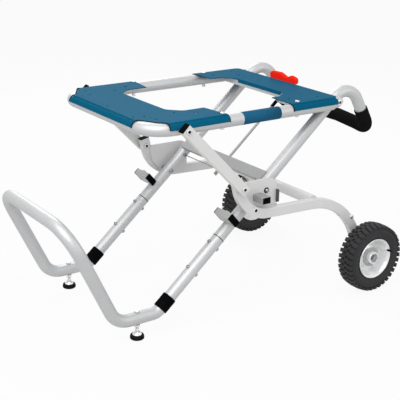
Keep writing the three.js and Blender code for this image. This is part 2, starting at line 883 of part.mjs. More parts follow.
// Foam grip: a sleeve round the handle from one drop, round the corners, to the other drop
function foamGrip() {
  const { before, middle } = gripCorners(gripOnDrop);
  const corners = mirrored(before);
  corners.splice(before.length, 0, middle);
  const stations = bendStations(corners, [gripCornerBend, gripBend, gripCornerBend]);
  return sweep(
    stations,
    ringPoints(gripDiameter, tubeSides),
    [ringPoints(upperTubeDiameter + 2 * gap, tubeSides)],
  );
}

add(legFrame, 'foam_grip', foamGrip(), blackFoam);

// Lock pins: through each leg up to its gusset, hollow at the inner end where the cable enters
function lockPin(sign) {
  const bore = cableDiameter + 2 * boltPlay;
  const end = gussetInner - gap;
  return turned(onLeg(lockDistance, 0, 0), at(0, sign, 0), [
    [lockPinInner, bore], [lockPinInner, lockPinDiameter], [end - lockTipLength, lockPinDiameter],
    [end, lockPinDiameter * pinTipShare], [end, 0],
    [lockPinInner + lockBoreDepth, 0], [lockPinInner + lockBoreDepth, bore], [lockPinInner, bore],
  ]);
}

function lockCable() {
  return bar(
    onLeg(lockDistance, 0, -cableHalfLength),
    onLeg(lockDistance, 0, cableHalfLength),
    cableDiameter,
    cableSides,
  );
}

// Release rod: from a slotted eye round the cable up the middle of the leg plane to the lever
function releaseRod() {
  const eyeTop = lockDistance - rodEyeWidth / 2;
  const rodFoot = onLeg(eyeTop + rodEyeWidth / 2, 0, 0);
  const rod = bar(rodFoot, onLeg(rodTopDistance + rodEyeLength, 0, 0), rodDiameter);
  const sleeve = bar(onLeg(rodSleeveBottom, 0, 0), onLeg(rodSleeveTop, 0, 0), rodSleeveDiameter);
  const half = rodEyeThickness / 2;
  const eye = legBlock(eyeTop, eyeTop + rodEyeLength, -rodEyeWidth / 2, rodEyeWidth / 2, -half, half);
  const slotHalf = cableDiameter / 2 + boltPlay;
  const slot = legBlock(
    lockDistance - slotHalf,
    lockDistance + slotHalf + rodTravel,
    -slotHalf,
    slotHalf,
    -overrun,
    overrun,
  );
  const tip = legBlock(
    rodTopDistance,
    rodTopDistance + rodEyeLength + rodDiameter / 2,
    -rodEyeWidth / 2,
    rodEyeWidth / 2,
    -half,
    half,
  );
  const tipBore = crossBore(onLeg(leverPivotDistance, 0, 0), leverPinDiameter * stubShare);
  return rod.add(sleeve).add(eye).subtract(slot).add(tip).subtract(tipBore);
}

for (const { word, sign } of sides) add(legFrame, `lock_pin_${word}`, lockPin(sign), zincSteel);
add(legFrame, 'lock_cable', lockCable(), zincSteel);
add(legFrame, 'release_rod', releaseRod(), dullSteel);

// Deck tube: a U lying level, pressed flat and rounded at each rear end round the deck pivot

function deckPath(rear) {
  const half = [at(rear, -deckHalfSpacing, deckPivotZ), at(deckFrontX, -deckHalfSpacing, deckPivotZ)];
  return { corners: mirrored(half), bends: [deckCornerBend, deckCornerBend] };
}

function deckTube() {
  const { corners, bends } = deckPath(deckPivotX);
  let solid = tube(corners, bends, deckTubeDiameter, deckTubeWall);
  for (const { sign } of sides) {
    const inner = sign * deckInner;
    const outer = sign * (deckInner + deckEndFlat);
    const crush = block(
      at(deckEndFlatStart, sign * (deckInner - overrun), deckPivotZ - overrun),
      at(deckPivotX + overrun, sign * (deckOuter + overrun), deckPivotZ + overrun),
    );
    const tongue = roundedPoints([
      [deckEndFlatStart - deckEndFlat, deckPivotZ - deckRadius / 2, 0],
      [deckEndFlatStart, deckPivotZ - deckRadius, 0],
      [deckPivotX + deckRadius, deckPivotZ - deckRadius, deckRadius * tongueRoundShare],
      [deckPivotX + deckRadius, deckPivotZ + deckRadius, deckRadius * tongueRoundShare],
      [deckEndFlatStart, deckPivotZ + deckRadius, 0],
      [deckEndFlatStart - deckEndFlat, deckPivotZ + deckRadius / 2, 0],
    ]);
    solid = solid.subtract(crush).add(sidePlate(tongue, inner, outer));
    const screws = [screwFrontX, screwRearX];
    for (const x of screws) solid = solid.subtract(deckScrewBore(x, sign));
    for (const x of [deckPivotX, linkTopX]) {
      const place = at(x, sign * deckHalfSpacing, deckPivotZ);
      solid = solid.subtract(crossBore(place, pivotBoltDiameter));
    }
  }
  return solid;
}

// Cross rail: a rectangular tube under the rear plate's inner edge, short enough to clear the legs
const plateTop = deckPivotZ + deckRadius + gap + plateThickness;
const plateBottom = plateTop - plateThickness;

function crossRail() {
  const x = rearPlateInnerX + plateThickness + gap + railWidth / 2;
  const z = plateBottom - gap - railHeight / 2;
  return sweep(
    bendStations([at(x, -railHalfLength, z), at(x, railHalfLength, z)], []),
    boxOutline(railHeight, railWidth, railCorner),
    [boxOutline(railHeight - 2 * railWall, railWidth - 2 * railWall, 0)],
  );
}

const screwHole = screwDiameter + 2 * boltPlay;

function deckScrewBore(x, sign) {
  const y = sign * screwHalfSpacing;
  return holeCutter(at(x, y, deckPivotZ - overrun), at(x, y, deckPivotZ + overrun), screwHole);
}

function deckScrew(x, sign) {
  const y = sign * screwHalfSpacing;
  const nutTop = deckPivotZ - deckRadius - gap;
  const seat = plateTop + gap;
  const shank = bar(at(x, y, nutTop - screwNutHeight), at(x, y, seat + screwHeadHeight / 2), screwDiameter);
  const head = turned(at(x, y, seat), upAxis, [
    [0, 0], [0, screwHeadDiameter], [screwHeadHeight * screwBandShare, screwHeadDiameter],
    [screwHeadHeight, screwHeadDiameter * screwCrownShare], [screwHeadHeight, 0],
  ]);
  const nut = hexagon(at(x, y, nutTop - screwNutHeight), upAxis, screwNutWidth, screwNutHeight);
  return shank.add(head).add(nut);
}

// Saddle plates: a level sheet with bands rolled down over the tubes and a crease along each band
const bandDiameter = deckTubeDiameter + 2 * (gap + plateThickness);

function clearOfTube() {
  const { corners, bends } = deckPath(deckPivotX + overrun);
  return tube(corners, bends, deckTubeDiameter + 2 * gap, 0);
}

// The upper outer quarter of a ring round a tube; outward points away from the plate's middle
function rolledBand(from, to, outward) {
  const ring = sweep(bendStations([from, to], []), ringPoints(bandDiameter, sleeveSides));
  const along = to.clone().sub(from);
  const across = outward.clone().multiplyScalar(bandDiameter);
  const low = from.clone().addScaledVector(along, -bandLap);
  const high = to.clone().addScaledVector(along, bandLap).add(across).addScaledVector(upAxis, bandDiameter);
  return ring.intersect(block(low.addScaledVector(upAxis, bandLift), high));
}

function crease(from, to, outward) {
  const lift = plateTop - deckPivotZ + creaseDiameter * creaseStandShare;
  const shift = outward.clone().multiplyScalar(creaseOffset).setZ(lift);
  return bar(from.clone().add(shift), to.clone().add(shift), creaseDiameter, cableSides);
}

function mirroredOutline(half) {
  const other = half.map(([x, y, radius]) => [x, -y, radius]).reverse();
  return roundedPoints([...half, ...other]);
}

function punch(solid, holes) {
  return holes.reduce((rest, [x, y, diameter]) => rest.subtract(holeCutter(
    at(x, y, plateTop - overrun / 2),
    at(x, y, plateTop + overrun / 2),
    diameter,
  )), solid);
}

function saddlePlate(outline, bands, flangeFrom, holes) {
  const flangeHalf = plateBridgeHalf - plateCornerRadius;
  const flange = block(
    at(flangeFrom, -flangeHalf, plateTop - plateFlange),
    at(flangeFrom + plateThickness, flangeHalf, plateTop - plateThickness / 2),
  );
  let solid = levelPlate(mirroredOutline(outline), plateBottom, plateTop).add(flange);
  for (const [from, to, outward] of bands) solid = solid.add(rolledBand(from, to, outward));
  solid = solid.subtract(clearOfTube());
  for (const [from, to, outward] of bands) solid = solid.subtract(crease(from, to, outward));
  return punch(solid, holes);
}

function sideBands(fromX, toX) {
  return sides.map(({ sign }) => [
    at(fromX, sign * deckHalfSpacing, deckPivotZ),
    at(toX, sign * deckHalfSpacing, deckPivotZ),
    at(0, sign, 0),
  ]);
}

// Holes given for one half of a plate, repeated on the other half
function bothHalves(holes) {
  return sides.flatMap(({ sign }) => holes.map(([x, y, diameter]) => [x, sign * y, diameter]));
}

const armMiddle = (plateArmInner + deckInner) / 2;

function frontPlate() {
  const outline = [
    [deckFrontX, frontWrapHalf, 0],
    [frontBandStartX - frontCornerInset, deckHalfSpacing - frontCornerInset, 0],
    [frontBandStartX, deckHalfSpacing, 0],
    [frontBandEndX, deckHalfSpacing, 0],
    [frontPlateArmX, plateArmInner, 0],
    [frontPlateInnerX + plateArmInner - plateBridgeHalf, plateArmInner, plateCornerRadius],
    [frontPlateInnerX, plateBridgeHalf, plateCornerRadius],
  ];
  const bands = [
    [at(deckFrontX, -frontWrapHalf, deckPivotZ), at(deckFrontX, frontWrapHalf, deckPivotZ), at(-1, 0, 0)],
    ...sideBands(frontBandStartX, frontBandEndX),
  ];
  const holes = [
    [deckFrontX + deckRadius / 2, 0, plateHoleDiameter],
    ...bothHalves([
      [frontPlateInnerX, plateArmInner + plateHoleDiameter, plateHoleDiameter],
      [(frontPlateInnerX + frontPlateArmX) / 2, armMiddle, plateSlotDiameter],
      [deckFrontX + 2 * deckRadius, plateArmInner, plateHoleDiameter],
      [deckFrontX + 2 * deckRadius, armMiddle + plateHoleDiameter, plateHoleDiameter],
      [deckFrontX + deckRadius * frontHoleShare, plateArmInner - plateHoleDiameter, plateHoleDiameter],
      [screwFrontX, screwHalfSpacing, screwHole],
    ]),
  ];
  const solid = saddlePlate(outline, bands, frontPlateInnerX - plateThickness, holes);
  return sides.reduce((rest, { sign }) => rest.subtract(bar(
    at(linkTopX, sign * deckHalfSpacing, deckPivotZ),
    at(linkTopX, sign * (deckOuter + overrun), deckPivotZ),
    spacerDiameter + 2 * spacerPlay,
  )), solid);
}

function rearPlate() {
  const outline = [
    [rearPlateRearX, deckHalfSpacing, 0],
    [rearBandStartX, deckHalfSpacing, 0],
    [rearPlateArmX, plateArmInner, 0],
    [rearPlateInnerX - plateArmInner + plateBridgeHalf, plateArmInner, plateCornerRadius],
    [rearPlateInnerX, plateBridgeHalf, plateCornerRadius],
  ];
  const rearMiddle = (rearPlateInnerX + rearPlateRearX) / 2;
  const holes = bothHalves([
    [rearMiddle, deckInner - plateSlotDiameter, plateHoleDiameter],
    [rearMiddle - 2 * plateHoleDiameter, plateArmInner, plateHoleDiameter],
    [(rearPlateArmX + rearPlateInnerX) / 2, armMiddle, plateHoleDiameter],
    [screwRearX, screwHalfSpacing, screwHole],
  ]);
  return saddlePlate(outline, sideBands(rearBandStartX, rearBandEndX), rearPlateInnerX, holes);
}

// Pivot bolts of the deck: leg and flat tube end on one bolt, and link and side tube on another
function deckPivotBolt(sign) {
  const start = legInner - gap - pivotHeadHeight;
  const outer = deckInner + deckEndFlat + gap;
  const washer = pivotHeadHeight / 2;
  return turned(at(deckPivotX, 0, deckPivotZ), at(0, sign, 0), [
    [start, 0], [start, pivotHeadWidth], [start + pivotHeadHeight, pivotHeadWidth],
    [start + pivotHeadHeight, pivotBoltDiameter], [outer, pivotBoltDiameter],
    [outer, spacerDiameter], [outer + washer, spacerDiameter], [outer + washer, pivotHeadWidth],
    [outer + pivotHeadHeight, pivotHeadWidth * nutCrownShare], [outer + pivotHeadHeight, 0],
  ]);
}

function linkTopBolt(sign) {
  const start = deckInner - gap - pivotHeadHeight;
  const outer = linkOuter + gap;
  return turned(at(linkTopX, 0, deckPivotZ), at(0, sign, 0), [
    [start, 0], [start, pivotHeadWidth], [start + pivotHeadHeight, pivotHeadWidth],
    [start + pivotHeadHeight, pivotBoltDiameter], [deckOuter + gap, pivotBoltDiameter],
    [deckOuter + gap, spacerDiameter], [linkInner - gap, spacerDiameter],
    [linkInner - gap, pivotBoltDiameter],
    [outer, pivotBoltDiameter], [outer, pivotHeadWidth],
    [outer + pivotHeadHeight, pivotHeadWidth * nutCrownShare], [outer + pivotHeadHeight, 0],
  ]);
}

add(deck, 'deck_tube', deckTube(), aluminium);
add(deck, 'deck_cross_rail', crossRail(), aluminium);
add(deck, 'front_plate', frontPlate(), bluePaint);
add(deck, 'rear_plate', rearPlate(), bluePaint);
for (const { word, sign } of sides) {
  add(deck, `deck_screw_front_${word}`, deckScrew(screwFrontX, sign), zincSteel);
  add(deck, `deck_screw_rear_${word}`, deckScrew(screwRearX, sign), zincSteel);
  add(deck, `deck_pivot_bolt_${word}`, deckPivotBolt(sign), zincSteel);
  add(deck, `link_top_bolt_${word}`, linkTopBolt(sign), zincSteel);
}

// Release lever: a bell crank below the rear plate, with a two-lobed grip standing behind it
const leverPivot = onLeg(leverPivotDistance, -leverCrank, 0);

function leverBracket() {
  const top = plateBottom - gap;
  const eyeHalf = leverEyeDiameter / 2;
  const cheek = roundedPoints([
    [leverPivot.x - eyeHalf, leverPivot.z - eyeHalf, leverEyeDiameter * eyeRoundShare],
    [leverPivot.x + eyeHalf, leverPivot.z - eyeHalf, leverEyeDiameter * eyeRoundShare],
    [leverPivot.x + eyeHalf, leverPivot.z + leverEyeDiameter, 0],
    [rearPlateRearX - bracketInset, top, 0],
    [rearPlateRearX - bracketInset - bracketWidth, top, 0],
  ]);
  const far = bracketCheekHalf + bracketCheekThickness;
  let solid = block(
    at(rearPlateRearX - bracketInset - bracketWidth, -far, top - bracketCheekThickness),
    at(rearPlateRearX - bracketInset, far, top),
  );
  for (const y of [-far, bracketCheekHalf]) {
    solid = solid.add(sidePlate(cheek, y, y + bracketCheekThickness));
  }
  const head = leverPinDiameter * pinHeadShare;
  const pin = turned(leverPivot, acrossAxis, [
    [-far - bracketCheekThickness, 0], [-far - bracketCheekThickness, head], [-far, head],
    [-far, leverPinDiameter], [far, leverPinDiameter], [far, head],
    [far + bracketCheekThickness, head], [far + bracketCheekThickness, 0],
  ]);
  return solid.add(pin);
}

// The lever's arm: hub on the pin, crank up to the rod's eye, and a neck behind the plate's edge
function releaseLever() {
  const crank = onLeg(leverPivotDistance, 0, 0);
  const half = leverArmWidth / 2;
  const neck = leverGripX - leverGripThickness * neckShare;
  const outer = leverInner + leverThickness;
  const hubEnd = bracketCheekHalf - gap;
  const arm = sidePlate(roundedPoints([
    [leverPivot.x - half, leverPivot.z - half, half / 2],
    [leverPivot.x + half, leverPivot.z - half, half / 2],
    [neck + half / 2, leverPivot.z + leverEyeDiameter, half],
    [neck + half / 2, leverGripBottomZ + half, 0],
    [neck - half / 2, leverGripBottomZ + half, 0],
    [neck - half / 2, crank.z + leverEyeDiameter, half],
    [crank.x - half, crank.z + half, half / 2],
    [crank.x - half, crank.z - half, half / 2],
  ]), leverInner, outer);
  const hub = bar(leverPivot.clone().setY(-hubEnd), leverPivot.clone().setY(hubEnd), leverEyeDiameter);
  const stub = bar(
    crank.clone().setY(rodEyeThickness / 2 + gap),
    crank.clone().setY(leverInner + leverThickness / 2),
    leverPinDiameter * stubShare,
  );
  const bore = crossBore(leverPivot, leverPinDiameter);
  return arm.add(hub).add(stub).add(leverGrip()).subtract(bore);
}

// The grip's outline across the stand: two rounded lobes with a dip between them
function leverGrip() {
  const low = leverGripBottomZ;
  const high = leverGripBottomZ + leverGripHeight;
  const leftLobe = leverGripCentreY - leverGripWidth / 2;
  const rightLobe = leverGripCentreY + leverGripWidth / 2;
  const dip = leverGripCentreY - leverGripWidth * dipPlaceShare;
  const round = leverGripHeight * lobeRoundShare;
  const outline = roundedPoints([
    [leftLobe, low, round],
    [rightLobe, low, round],
    [rightLobe, high, round],
    [dip + leverDip * 2, high, leverDip],
    [dip, high - leverDip, leverDip],
    [dip - leverDip * 2, high - leverDip * dipDropShare, leverDip],
    [leftLobe, high - leverDip * dipDropShare, round * smallLobeShare],
  ]);
  const geometry = new THREE.ExtrudeGeometry(new THREE.Shape(outline), {
    depth: leverGripThickness * (1 - 2 * gripBevelShare),
    bevelEnabled: true,
    bevelSegments: 1,
    bevelSize: leverGripThickness * gripBevelShare,
    bevelThickness: leverGripThickness * gripBevelShare,
    curveSegments: 1,
  });
  geometry.rotateX(Math.PI / 2);
  geometry.rotateZ(Math.PI / 2);
  geometry.computeBoundingBox();
  const middle = geometry.boundingBox.getCenter(new THREE.Vector3());
  geometry.translate(leverGripX - middle.x, 0, 0);
  return toSolid(geometry);
}

add(deck, 'lever_bracket', leverBracket(), greySteel);
add(deck, 'release_lever', releaseLever(), redPlastic);

// Links: rectangular tube from the deck's side tube down to the wheel tube's upper end
const linkTop = at(linkTopX, 0, deckPivotZ);
const linkBottom = at(linkBottomX, 0, linkBottomZ);
const linkWay = linkBottom.clone().sub(linkTop).normalize();
const linkMiddle = linkInner + linkThickness / 2;

function link(sign) {
  const y = sign * linkMiddle;
  const top = linkTop.clone().addScaledVector(linkWay, -linkOverhang).setY(y);
  const bottom = linkBottom.clone().addScaledVector(linkWay, linkFootRadius).setY(y);
  let solid = sweep(
    bendStations([top, bottom], []),
    boxOutline(linkThickness, linkWidth, linkCorner),
    [boxOutline(linkThickness - 2 * linkWall, linkWidth - 2 * linkWall, 0)],
  );
  for (const end of [linkTop, linkBottom]) {
    solid = solid.subtract(crossBore(end.clone().setY(y), pivotBoltDiameter));
  }
  return solid;
}

// A plug-in end cap for a rectangular tube that runs in the side view
function tubeCap(end, way, y, { depth, width, wall, corner, plugLength }) {
  const face = end.clone().setY(y).addScaledVector(way, gap);
  const rim = sweep(
    bendStations([face, face.clone().addScaledVector(way, capThickness)], []),
    boxOutline(depth, width, corner),
  );
  const plugEnd = end.clone().addScaledVector(way, -plugLength).setY(y);
  const plug = sweep(
    bendStations([plugEnd, end.clone().addScaledVector(way, gap + capThickness / 2).setY(y)], []),
    boxOutline(depth - 2 * wall - 2 * gap, width - 2 * wall - 2 * gap, 0),
  );
  return rim.add(plug);
}

function linkBottomBolt(sign) {
  const start = wheelTubeOuter + boltPlay;
  const outer = linkOuter + gap;
  return turned(linkBottom, at(0, sign, 0), [
    [start, 0], [start, spacerDiameter], [linkInner - gap, spacerDiameter],
    [linkInner - gap, pivotBoltDiameter], [outer, pivotBoltDiameter], [outer, pivotHeadWidth],
    [outer + pivotHeadHeight, pivotHeadWidth * nutCrownShare], [outer + pivotHeadHeight, 0],
  ]);
}

for (const { word, sign } of sides) {
  add(links, `link_${word}`, link(sign), greySteel);
  const up = linkWay.clone().negate();
  const end = linkTop.clone().addScaledVector(up, linkOverhang);
  const cap = tubeCap(end, up, sign * linkMiddle, {
    depth: linkThickness,
    width: linkWidth,
    wall: linkWall,
    corner: linkCorner,
    plugLength: linkCapPlug,
  });
  add(links, `link_cap_${word}`, cap, blackPlastic);
  add(links, `link_bottom_bolt_${word}`, linkBottomBolt(sign), zincSteel);
}

// Wheel frame: bent rectangular tubes with gusset plates, stop blocks and a cross tube
const axle = at(wheelX, 0, tyreDiameter / 2);
const wheelTubeMiddle = wheelTubeInner + wheelTubeDepth / 2;
const wheelTubeTop = at(wheelTubeTopX, 0, wheelTubeTopZ);
const wheelTubeKnee = at(wheelTubeKneeX, 0, wheelTubeKneeZ);
const wheelTubeHip = at(wheelTubeHipX, 0, wheelTubeHipZ);

function wheelTube(sign) {
  const y = sign * wheelTubeMiddle;
  const down = axle.clone().sub(wheelTubeHip).normalize();
  const tail = axle.clone().addScaledVector(down, wheelTubeTail);
  const corners = [wheelTubeTop, wheelTubeKnee, wheelTubeHip, tail].map((corner) => corner.clone().setY(y));
  let solid = sweep(
    bendStations(corners, [wheelTubeKneeBend, wheelTubeHipBend]),
    boxOutline(wheelTubeDepth, wheelTubeWidth, wheelTubeCorner),
    [boxOutline(wheelTubeDepth - 2 * wheelTubeWall, wheelTubeWidth - 2 * wheelTubeWall, 0)],
  );
  const pivot = onLeg(wheelPivotDistance, 0, 0);
  const sink = bar(
    pivot.clone().setY(sign * (wheelTubeInner + wheelTubeWall)),
    pivot.clone().setY(sign * (wheelTubeOuter + overrun)),
    sunkHeadWidth + 2 * boltPlay,
    tubeSides,
  );
  solid = solid.subtract(sink)
    .subtract(crossBore(pivot.clone().setY(y), pivotBoltDiameter))
    .subtract(crossBore(axle.clone().setY(y), axleDiameter));
  const stud = turned(linkBottom, at(0, sign, 0), [
    [wheelTubeInner - pivotHeadHeight, 0], [wheelTubeInner - pivotHeadHeight, pivotHeadWidth],
    [wheelTubeInner + wheelTubeWall / 2, pivotHeadWidth],
    [wheelTubeInner + wheelTubeWall / 2, pivotBoltDiameter],
    [wheelTubeOuter, pivotBoltDiameter], [wheelTubeOuter, 0],
  ]);
  return solid.add(stud);
}

function gusset(sign) {
  const inner = sign * gussetInner;
  const outer = sign * (gussetInner + gussetThickness);
  const kneeInset = wheelTubeWidth / 2;
  const outline = roundedPoints([
    [wheelTubeTopX + wheelTubeWidth * gussetStartShare, gussetTopZ, 0],
    [gussetRightX, gussetTopZ, gussetCorner],
    [gussetRightX, wheelTubeKneeZ - kneeInset / 2, kneeInset / 2],
    [wheelTubeKneeX + 2 * kneeInset, wheelTubeKneeZ, kneeInset],
    [wheelTubeKneeX - kneeInset / 2, wheelTubeKneeZ + gussetRiseShare * kneeInset, 0],
    [wheelTubeTopX + kneeInset, gussetTopZ - kneeInset, 0],
  ]);
  const flange = block(
    at(gussetRightX - gussetThickness / 2, inner, gussetFlangeBottom),
    at(gussetRightX + gussetThickness / 2, outer + sign * gussetFlange, gussetFlangeTop),
  );
  const stop = block(
    at(stopLeftX, (inner + outer) / 2, stopBottomZ),
    at(stopLeftX + stopWidth, outer + sign * stopReach, stopBottomZ + stopHeight),
  );
  const mouthEnd = outer + sign * (stopReach + overrun);
  const mouth = block(
    at(stopLeftX + stopWall, outer, stopBottomZ + stopWall),
    at(stopLeftX + stopWidth - stopWall, mouthEnd, stopBottomZ + stopHeight - stopWall),
  );
  const base = gussetInner + gussetThickness / 2;
  const top = gussetInner + gussetThickness + lockDomeHeight;
  const dome = turned(onLeg(lockDistance, 0, 0), at(0, sign, 0), [
    [base, 0], [base, lockDomeDiameter],
    [top - lockDomeHeight * (1 - domeBandShare), lockDomeDiameter],
    [top - lockDomeHeight * (1 - domeCrownShare), lockDomeDiameter * domeShoulderShare],
    [top, lockDomeDiameter * domeTopShare],
    [top, 0],
  ]);
  return sidePlate(outline, inner, outer)
    .add(flange)
    .add(stop)
    .subtract(mouth)
    .add(dome)
    .subtract(crossBore(onLeg(wheelPivotDistance, 0, outer), pivotBoltDiameter));
}

function wheelCrossTube() {
  const end = gussetInner + gussetThickness;
  return straightTube(
    at(wheelCrossX, -end, wheelCrossZ),
    at(wheelCrossX, end, wheelCrossZ),
    wheelCrossDiameter,
    wheelCrossWall,
  );
}

// Axle bolt: head inside the wheel tube, spacer, hub seat and outer nut
const hubInner = wheelCentreHalf - hubLength / 2;
const hubOuter = wheelCentreHalf + hubLength / 2;

function axleBolt(sign) {
  const start = wheelTubeInner - gap - axleHeadHeight;
  const end = hubOuter + gap + axleHeadHeight;
  return turned(axle, at(0, sign, 0), [
    [start, 0], [start, axleHeadWidth], [wheelTubeInner - gap, axleHeadWidth],
    [wheelTubeInner - gap, axleDiameter], [wheelTubeOuter + gap, axleDiameter],
    [wheelTubeOuter + gap, axleHeadWidth], [hubInner - gap, axleHeadWidth], [hubInner - gap, axleDiameter],
    [hubOuter + gap, axleDiameter], [hubOuter + gap, axleHeadWidth], [end, axleHeadWidth], [end, 0],
  ]);
}

for (const { word, sign } of sides) {
  add(wheelFrame, `wheel_tube_${word}`, wheelTube(sign), greySteel);
  add(wheelFrame, `gusset_${word}`, gusset(sign), greySteel);
  add(wheelFrame, `axle_bolt_${word}`, axleBolt(sign), zincSteel);
  const up = wheelTubeTop.clone().sub(wheelTubeKnee).normalize();
  const cap = tubeCap(wheelTubeTop, up, sign * wheelTubeMiddle, {
    depth: wheelTubeDepth,
    width: wheelTubeWidth,
    wall: wheelTubeWall,
    corner: wheelTubeCorner,
    plugLength: wheelCapPlug,
  });
  add(wheelFrame, `wheel_tube_cap_${word}`, cap, blackPlastic);
}
add(wheelFrame, 'wheel_cross_tube', wheelCrossTube(), greySteel);

// Wheels: a lugged tyre on a dished rim, turned round the axle
const rimRadius = rimDiameter / 2;
const tyreRadius = tyreDiameter / 2;
const treadRadius = tyreRadius - lugHeight;

function tyre(sign) {
  const centre = axle.clone().setY(sign * wheelCentreHalf);
  const half = tyreWidth / 2;
  const bore = rimDiameter + 2 * gap;
  const bead = rimSeat / 2 - gap;
  const middle = rimRadius + treadRadius;
  const shoulder = 2 * (treadRadius - lugHeight);
  let solid = turned(centre, at(0, sign, 0), [
    [-bead, bore], [-bead, rimDiameter + 2 * rimLip], [-half, middle], [-half * shoulderShare, shoulder],
    [-half * crownShare, 2 * treadRadius], [half * crownShare, 2 * treadRadius],
    [half * shoulderShare, shoulder], [half, middle], [bead, rimDiameter + 2 * rimLip],
    [bead, bore], [-bead, bore],
  ], tyreSides);
  for (let i = 0; i < lugCount; i += 1) {
    const row = i % 2 === 0 ? 1 : -1;
    const lug = new THREE.BoxGeometry(lugWidth, lugLength, lugHeight + lugOverlap);
    lug.rotateZ(row * lugSlant);
    lug.translate(0, row * (half - lugLength / 2), treadRadius - lugOverlap + (lugHeight + lugOverlap) / 2);
    lug.rotateY((i / lugCount) * 2 * Math.PI);
    lug.translate(centre.x, centre.y, centre.z);
    solid = solid.add(toSolid(lug));
  }
  return solid;
}

function rim(sign) {
  const centre = axle.clone().setY(sign * wheelCentreHalf);
  const seat = rimSeat / 2;
  const lip = rimDiameter + 2 * rimLip;
  const hubHalf = hubLength / 2;
  const dish = seat * dishShare;
  const face = rimDiameter - 2 * rimFaceInset;
  const shoulder = rimDiameter - 2 * rimShoulderInset;
  const bore = axleDiameter + 2 * boltPlay;
  return turned(centre, at(0, sign, 0), [
    [-hubHalf, bore], [-hubHalf, hubDiameter], [dish - rimWall, hubDiameter],
    [-dish - rimWall, face], [-seat - rimWall, shoulder],
    [-seat - rimWall, lip], [-seat, lip], [-seat, rimDiameter], [seat, rimDiameter],
    [seat, lip], [seat + rimWall, lip], [seat + rimWall, shoulder],
    [-dish + rimWall, face], [dish + rimWall, hubDiameter],
    [hubHalf, hubDiameter * hubTaperShare], [hubHalf, bore], [-hubHalf, bore],
  ], rimSides);
}

for (const { word, sign } of sides) {
  add(wheels, `tyre_${word}`, tyre(sign), blackRubber);
  add(wheels, `wheel_rim_${word}`, rim(sign), whitePaint);
}

// The whole stand shifts along X so that its origin lies under the middle of its length
stand.position.x = -(footBarX - lowerRadius + wheelX + tyreRadius) / 2;

export default stand;
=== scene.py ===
# Folding wheeled stand for a bench saw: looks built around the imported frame, in metres
import math
import bpy
from mathutils import Matrix, Vector


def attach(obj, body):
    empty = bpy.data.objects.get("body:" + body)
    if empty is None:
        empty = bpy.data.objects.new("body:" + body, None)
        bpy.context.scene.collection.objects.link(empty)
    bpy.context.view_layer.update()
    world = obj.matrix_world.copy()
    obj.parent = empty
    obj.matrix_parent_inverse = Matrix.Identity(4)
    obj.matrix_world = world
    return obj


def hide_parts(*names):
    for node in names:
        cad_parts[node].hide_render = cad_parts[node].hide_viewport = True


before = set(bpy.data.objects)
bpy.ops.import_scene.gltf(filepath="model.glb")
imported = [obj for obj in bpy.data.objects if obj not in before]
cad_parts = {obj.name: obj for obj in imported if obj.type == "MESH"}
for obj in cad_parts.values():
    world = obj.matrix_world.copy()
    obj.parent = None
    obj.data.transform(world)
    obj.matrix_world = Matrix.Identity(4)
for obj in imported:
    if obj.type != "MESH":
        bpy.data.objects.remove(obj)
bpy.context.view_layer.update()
scene = bpy.context.scene
sideNames = {"left": -1, "right": 1}

# the side view that every piece is placed by
plan = {
    "pivotX": 0.34325, "pivotZ": 0.5905, "legSlope": math.radians(41), "frameHalf": 0.203,
    "wheelX": 0.44625, "wheelZ": 0.1065, "wheelHalf": 0.3025, "lockDistance": 0.343,
    "wheelPivotDistance": 0.412, "linkTop": (-0.21675, 0.5905), "linkBottom": (-0.03075, 0.401),
    "deckHalf": 0.2386, "plateTop": 0.6108, "gap": 0.0003, "overrun": 0.001,
}
gap, overrun = plan["gap"], plan["overrun"]
legUp = Vector((math.cos(plan["legSlope"]), 0, math.sin(plan["legSlope"])))
legOut = Vector((-math.sin(plan["legSlope"]), 0, math.cos(plan["legSlope"])))
up = Vector((0, 0, 1))


def legPoint(distance, lift, y):
    # a place on a leg, measured down from the deck's pivot
    base = Vector((plan["pivotX"], y, plan["pivotZ"]))
    return base - legUp * distance + legOut * lift


def sidePoint(pair, y):
    return Vector((pair[0], y, pair[1]))


def across(sign):
    return Vector((0, sign, 0))


def turnOf(first, second):
    # the rotation whose x and y point along the two ways
    return Matrix((first, second, first.cross(second))).transposed()


# camera
view = {
    "place": (-1.54721, -2.24144, 1.23066), "right": (0.82297, -0.56790, 0.01476),
    "upward": (0.17512, 0.27832, 0.94439), "lens": 85.97, "sensor": 36.0,
}


def setCamera():
    data = bpy.data.cameras.new("viewCamera")
    data.lens = view["lens"]
    data.sensor_width = view["sensor"]
    camera = bpy.data.objects.new("viewCamera", data)
    scene.collection.objects.link(camera)
    right = Vector(view["right"]).normalized()
    back = right.cross(Vector(view["upward"])).normalized()
    turn = Matrix((right, back.cross(right), back)).transposed()
    camera.matrix_world = Matrix.Translation(view["place"]) @ turn.to_4x4()
    scene.camera = camera


setCamera()
print("camera set")

# modelling helpers
meshing = {"merge": 1e-6, "shortest": 1e-5, "sameSize": 1e-4, "onEdge": 2e-5, "smooth": 35, "bevelAngle": 40,
           "cornerSegments": 4, "bendStep": math.radians(6), "faceWeight": 80}


def deselectAll():
    bpy.ops.object.select_all(action="DESELECT")


def takeUp(piece):
    deselectAll()
    piece.select_set(True)
    bpy.context.view_layer.objects.active = piece


def startEditing():
    piece = bpy.context.object
    bpy.ops.object.mode_set(mode="EDIT")
    bpy.ops.mesh.select_all(action="SELECT")
    return piece


def startRing(name, centre, way, radius, sides, filled=True):
    # a circle square to its way, left open in edit mode
    deselectAll()
    bpy.ops.mesh.primitive_circle_add(
        vertices=sides, radius=radius, fill_type="NGON" if filled else "NOTHING",
        location=centre, rotation=up.rotation_difference(way).to_euler())
    bpy.context.object.name = name
    return startEditing()


